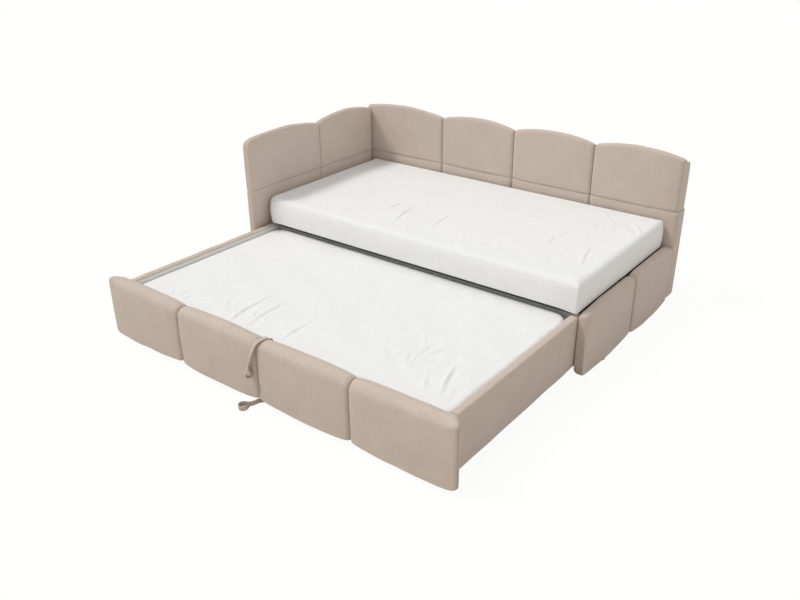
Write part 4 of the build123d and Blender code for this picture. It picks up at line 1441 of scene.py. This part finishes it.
@dataclass
class Strap:
    """A strap of webbing, a rounded flat section carried along a path."""

    width: float = 25.0 * MM
    thickness: float = 2.4 * MM
    step: float = 2.5 * MM

    def band(self, name: str, path: np.ndarray, side: np.ndarray) -> tuple[bpy.types.Object, float]:
        """Carries the section, a superellipse, along a path.

        Args:
            name: The piece's name.
            path: The path's places.
            side: The direction that the band's width takes at each.

        Returns:
            The piece and its length.
        """
        even = even_path(np.concatenate([path, side], axis=1), self.step)
        centre, wide = even[:, :3], even[:, 3:]
        tangent = np.gradient(centre, axis=0)
        tangent /= np.linalg.norm(tangent, axis=1, keepdims=True)
        wide = wide - tangent * (wide * tangent).sum(axis=1, keepdims=True)
        wide /= np.linalg.norm(wide, axis=1, keepdims=True)
        thin = np.cross(wide, tangent)
        angle = np.linspace(0, 2 * math.pi, STRAP_STEPS, endpoint=False)
        flat = np.sign(np.cos(angle)) * np.abs(np.cos(angle)) ** FLAT_POWER * self.width / 2
        thick = np.sign(np.sin(angle)) * np.abs(np.sin(angle)) ** THICK_POWER * self.thickness / 2
        rings = centre[:, None] + wide[:, None] * flat[:, None] + thin[:, None] * thick[:, None]
        rings, points = capped(rings, STRAP_RINGS)
        along = running(rings.mean(axis=1), LEAST_STEP / 10)
        around = np.linspace(0, 2 * (self.width + self.thickness), len(angle) + 1)
        faces, cloth = loft_faces(len(rings), len(angle), along, around)
        return mesh_piece(name, points, faces, cloth), float(along[-1])


@dataclass
class LiftStrap(Strap):
    """The strap sewn behind the front panel: it comes over the middle valley and hangs down in front.

    Its width turns from the bed's length towards the front right, so that its loop stands open there.
    """

    drift: float = -31.0 * MM
    ahead: float = 9.0 * MM
    loop_length: float = 54.0 * MM
    loop_radius: float = 14.0 * MM
    turn: float = 40.0
    turn_from: float = 0.45
    turn_over: float = 0.5
    lean: tuple[float, float] = (0.06, -0.05)

    def build(self) -> bpy.types.Object:
        """Makes the strap."""
        low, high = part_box("trundle_cushion_2")
        valley = high.x
        ahead = low.y - self.ahead
        route = np.array([
            (valley + 30 * MM, high.y + self.thickness, high.z - 74 * MM),
            (valley + 30 * MM, high.y + self.thickness, high.z - 40 * MM),
            (valley + 28 * MM, high.y - 10 * MM, high.z - 17 * MM),
            (valley + 24 * MM, high.y - 32 * MM, high.z - 8 * MM),
            (valley + 16 * MM, high.y - 56 * MM, high.z - 8 * MM),
            (valley + 6 * MM, low.y + 10 * MM, high.z - 20 * MM),
            (valley - 2 * MM, low.y + 1 * MM, high.z - 44 * MM),
            (valley - 12 * MM, low.y - 3 * MM, high.z - 72 * MM),
            (valley - 24 * MM, ahead, high.z - 109 * MM),
            (valley + self.drift, ahead, high.z - 137 * MM),
        ])
        run = rounded(route)
        share = np.linspace(0, 1, len(run))[:, None]
        turn = math.radians(self.turn)
        bend = turn * ((share - self.turn_from) / self.turn_over).clip(0, 1)
        side = np.concatenate([np.cos(bend), -np.sin(bend), np.zeros_like(bend)], axis=1)
        aside = np.array([-math.sin(turn), -math.cos(turn), 0.0])
        out = np.array([*self.lean, -1.0])
        out /= np.linalg.norm(out)
        loop = teardrop(run[-1], out, aside, self.loop_length, self.loop_radius)
        path = np.concatenate([run, loop, run[-1:]])
        side = np.concatenate([side, np.repeat(side[-1:], len(loop) + 1, axis=0)])
        piece, length = self.band("lift_strap_band", path, side)
        dress(piece, "webbing", "trundle", "lift_strap")
        return piece


@dataclass
class PullStrap(Strap):
    """The strap sewn under the front panel, which stands on edge on the floor and ends in a ring."""

    ring_length: float = 52.0 * MM
    ring_radius: float = 21.0 * MM
    ring_heading: float = -109.0

    def build(self) -> bpy.types.Object:
        """Makes the strap on the floor."""
        low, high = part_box("trundle_cushion_2")
        front, level = low.y, self.width / 2 + 0.3 * MM
        run = rounded(np.array([
            (high.x, (low.y + high.y) / 2, level),
            (high.x - 16 * MM, front + 36 * MM, level),
            (high.x - 22 * MM, front + 12 * MM, level),
            (high.x - 26 * MM, front - 6 * MM, level),
            (high.x - 34 * MM, front - 18 * MM, level),
        ]))
        heading = math.radians(self.ring_heading)
        out = np.array([math.cos(heading), math.sin(heading), 0.0])
        aside = np.array([-out[1], out[0], 0.0])
        loop = teardrop(run[-1], out, aside, self.ring_length, self.ring_radius)
        path = np.concatenate([run, loop, run[-1:]])
        side = np.repeat(np.array([[0.0, 0.0, 1.0]]), len(path), axis=0)
        piece, length = self.band("pull_strap_band", path, side)
        dress(piece, "webbing", "trundle", "pull_strap")
        return piece


# Studio


@dataclass
class Studio:
    """The pale floor, the soft light from the upper left and the camera."""

    eye: tuple[float, float, float] = (2.3631, -3.0514, 2.0294)
    yaw: float = -37.81
    pitch: float = 26.34
    roll: float = -0.47
    lens: float = 36.42
    floor_size: float = 40.0
    floor_colour: Colour = (0.66, 0.61, 0.56)
    floor_white: float = 1.045
    floor_white_share: float = 0.90
    sky: float = 0.58
    sun: float = 1.55
    sun_spread: float = 14.0
    sun_from: tuple[float, float, float] = (-0.25, -0.18, 0.42)
    fill: float = 0.22
    fill_colour: Colour = (1.0, 0.93, 0.86)
    fill_spread: float = 60.0
    fill_from: tuple[float, float, float] = (0.80, 0.10, 0.30)

    def camera(self) -> None:
        """Places the camera where the photograph was taken from."""
        yaw, pitch, roll = (math.radians(angle) for angle in (self.yaw, self.pitch, self.roll))
        forward = Vector((math.sin(yaw) * math.cos(pitch), math.cos(yaw) * math.cos(pitch), -math.sin(pitch)))
        level = Vector((math.cos(yaw), -math.sin(yaw), 0.0))
        upright = level.cross(forward)
        right = level * math.cos(roll) + upright * math.sin(roll)
        up = upright * math.cos(roll) - level * math.sin(roll)
        data = bpy.data.cameras.new("camera")
        data.lens = self.lens
        data.sensor_width = 36.0
        camera = bpy.data.objects.new("camera", data)
        axes = Matrix((right, up, -forward)).transposed().to_4x4()
        camera.matrix_world = Matrix.Translation(Vector(self.eye)) @ axes
        bpy.context.scene.collection.objects.link(camera)
        bpy.context.scene.camera = camera

    def lamp(
        self, name: str, energy: float, spread: float, towards: tuple[float, float, float],
        colour: Colour = (1.0, 1.0, 1.0),
    ) -> None:
        """Adds a sun lamp.

        Args:
            name: Its name.
            energy: Its strength.
            spread: Its angle in degrees.
            towards: The direction that it stands in.
            colour: Its colour.
        """
        data = bpy.data.lights.new(name, "SUN")
        data.color = colour
        data.energy = energy
        data.angle = math.radians(spread)
        lamp = bpy.data.objects.new(name, data)
        lamp.rotation_euler = Vector(towards).to_track_quat("Z", "Y").to_euler()
        bpy.context.scene.collection.objects.link(lamp)

    def light(self) -> None:
        """Lights the bed with an even sky, one soft sun from the left and a weak wide one from the right."""
        self.lamp("sun", self.sun, self.sun_spread, self.sun_from)
        self.lamp("fill", self.fill, self.fill_spread, self.fill_from, self.fill_colour)
        world = bpy.data.worlds.new("studio")
        bpy.context.scene.world = world
        nodes = Nodes(world)
        background = nodes.tree.nodes["Background"]
        rays = [nodes.node("ShaderNodeLightPath", output=f"Is {kind} Ray")
                for kind in ("Camera", "Glossy", "Transmission")]
        seen = rays[0].math("MAXIMUM", rays[0].math("MAXIMUM", *rays[:2]), rays[2])
        nodes.feed(background.inputs["Strength"], seen * (1.0 - self.sky) + self.sky)
        nodes.feed(background.inputs["Color"], (1.0, 1.0, 1.0))

    def floor(self) -> None:
        """Lays a pale floor that stays white to the camera but keeps the bed's shadow."""
        half = self.floor_size / 2
        mesh = bpy.data.meshes.new("floor")
        mesh.from_pydata([(-half, -half, 0), (half, -half, 0), (half, half, 0), (-half, half, 0)],
                         [], [(0, 1, 2, 3)])
        floor = bpy.data.objects.new("floor", mesh)
        bpy.context.scene.collection.objects.link(floor)
        shader = Shader("floor")
        shader.finish(Base_Color=self.floor_colour, Roughness=0.9, Specular_IOR_Level=0.0)
        glow = {"Color": (1.0, 1.0, 1.0), "Strength": self.floor_white}
        white = shader.node("ShaderNodeEmission", values=glow)
        seen = shader.node("ShaderNodeLightPath", output="Is Camera Ray")
        surface = Signal(shader, shader.surface.outputs[0])
        mixed = shader.node(
            "ShaderNodeMixShader", values={0: seen * self.floor_white_share, 1: surface, 2: white}
        )
        shader.feed(shader.output.inputs["Surface"], mixed)
        floor.data.materials.append(shader.material)

    def build(self) -> None:
        """Sets the view transform and builds the studio."""
        bpy.context.scene.view_settings.view_transform = "Standard"
        self.camera()
        self.light()
        self.floor()


class Hardware:
    """The nodes that keep their own shape: boards, steel, timber, screws and castors."""

    def build(self, nodes: dict[str, bpy.types.Object], record: dict) -> int:
        """Gives every node its finish.

        Args:
            nodes: The frame's nodes.
            record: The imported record.

        Returns:
            How many nodes were dressed.
        """
        slots = {part["node"]: part["material_slot"] for part in record["subparts"]}
        for name, node in nodes.items():
            node.data.materials.clear()
            node.data.materials.append(MATERIALS[slots[name]])
        return len(nodes)


def corners(bounds: tuple[Vector, Vector]) -> list[list[float]]:
    """A box's two corners as plain lists."""
    return [list(corner) for corner in bounds]


def main() -> None:
    """Builds the bed in order."""
    logging.basicConfig(level=logging.INFO, format="%(name)s: %(message)s")
    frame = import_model()
    for slot, finish in FINISHES.items():
        MATERIALS[slot] = finish.material()
    LOG.info("dressed %d nodes", Hardware().build(frame["nodes"], frame["record"]))
    Studio().build()
    main_mattress = Mattress(
        "upper_mattress", "main_mattress", "bed", corners=(60 * MM, 9 * MM, 10 * MM, 30 * MM),
        edge=32 * MM, rear_edge=7 * MM, hem=8 * MM, crown=3 * MM, bulge=4 * MM,
        folds=main_folds(), seed=7, sag=6 * MM,
    )
    trundle_mattress = Mattress(
        "lower_mattress", "trundle_mattress", "trundle", corners=(40 * MM, 40 * MM, 85 * MM, 75 * MM),
        edge=20 * MM, rear_edge=20 * MM, hem=12 * MM, crown=7 * MM, bulge=1 * MM,
        folds=trundle_folds(), seed=9, ceiling=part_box("frame_front_rail")[0].z - 1 * MM,
    )
    parts = (Headboard(), BackPanel(), EndPanel(), main_mattress, TrundleFront(), TrundleSides(),
             trundle_mattress, LiftStrap(), PullStrap())
    for part in parts:
        made = part.build()
        for piece in made if isinstance(made, list) else [made]:
            LOG.info("%s: %d points", piece.name, len(piece.data.vertices))


if __name__ == "__main__":
    main()
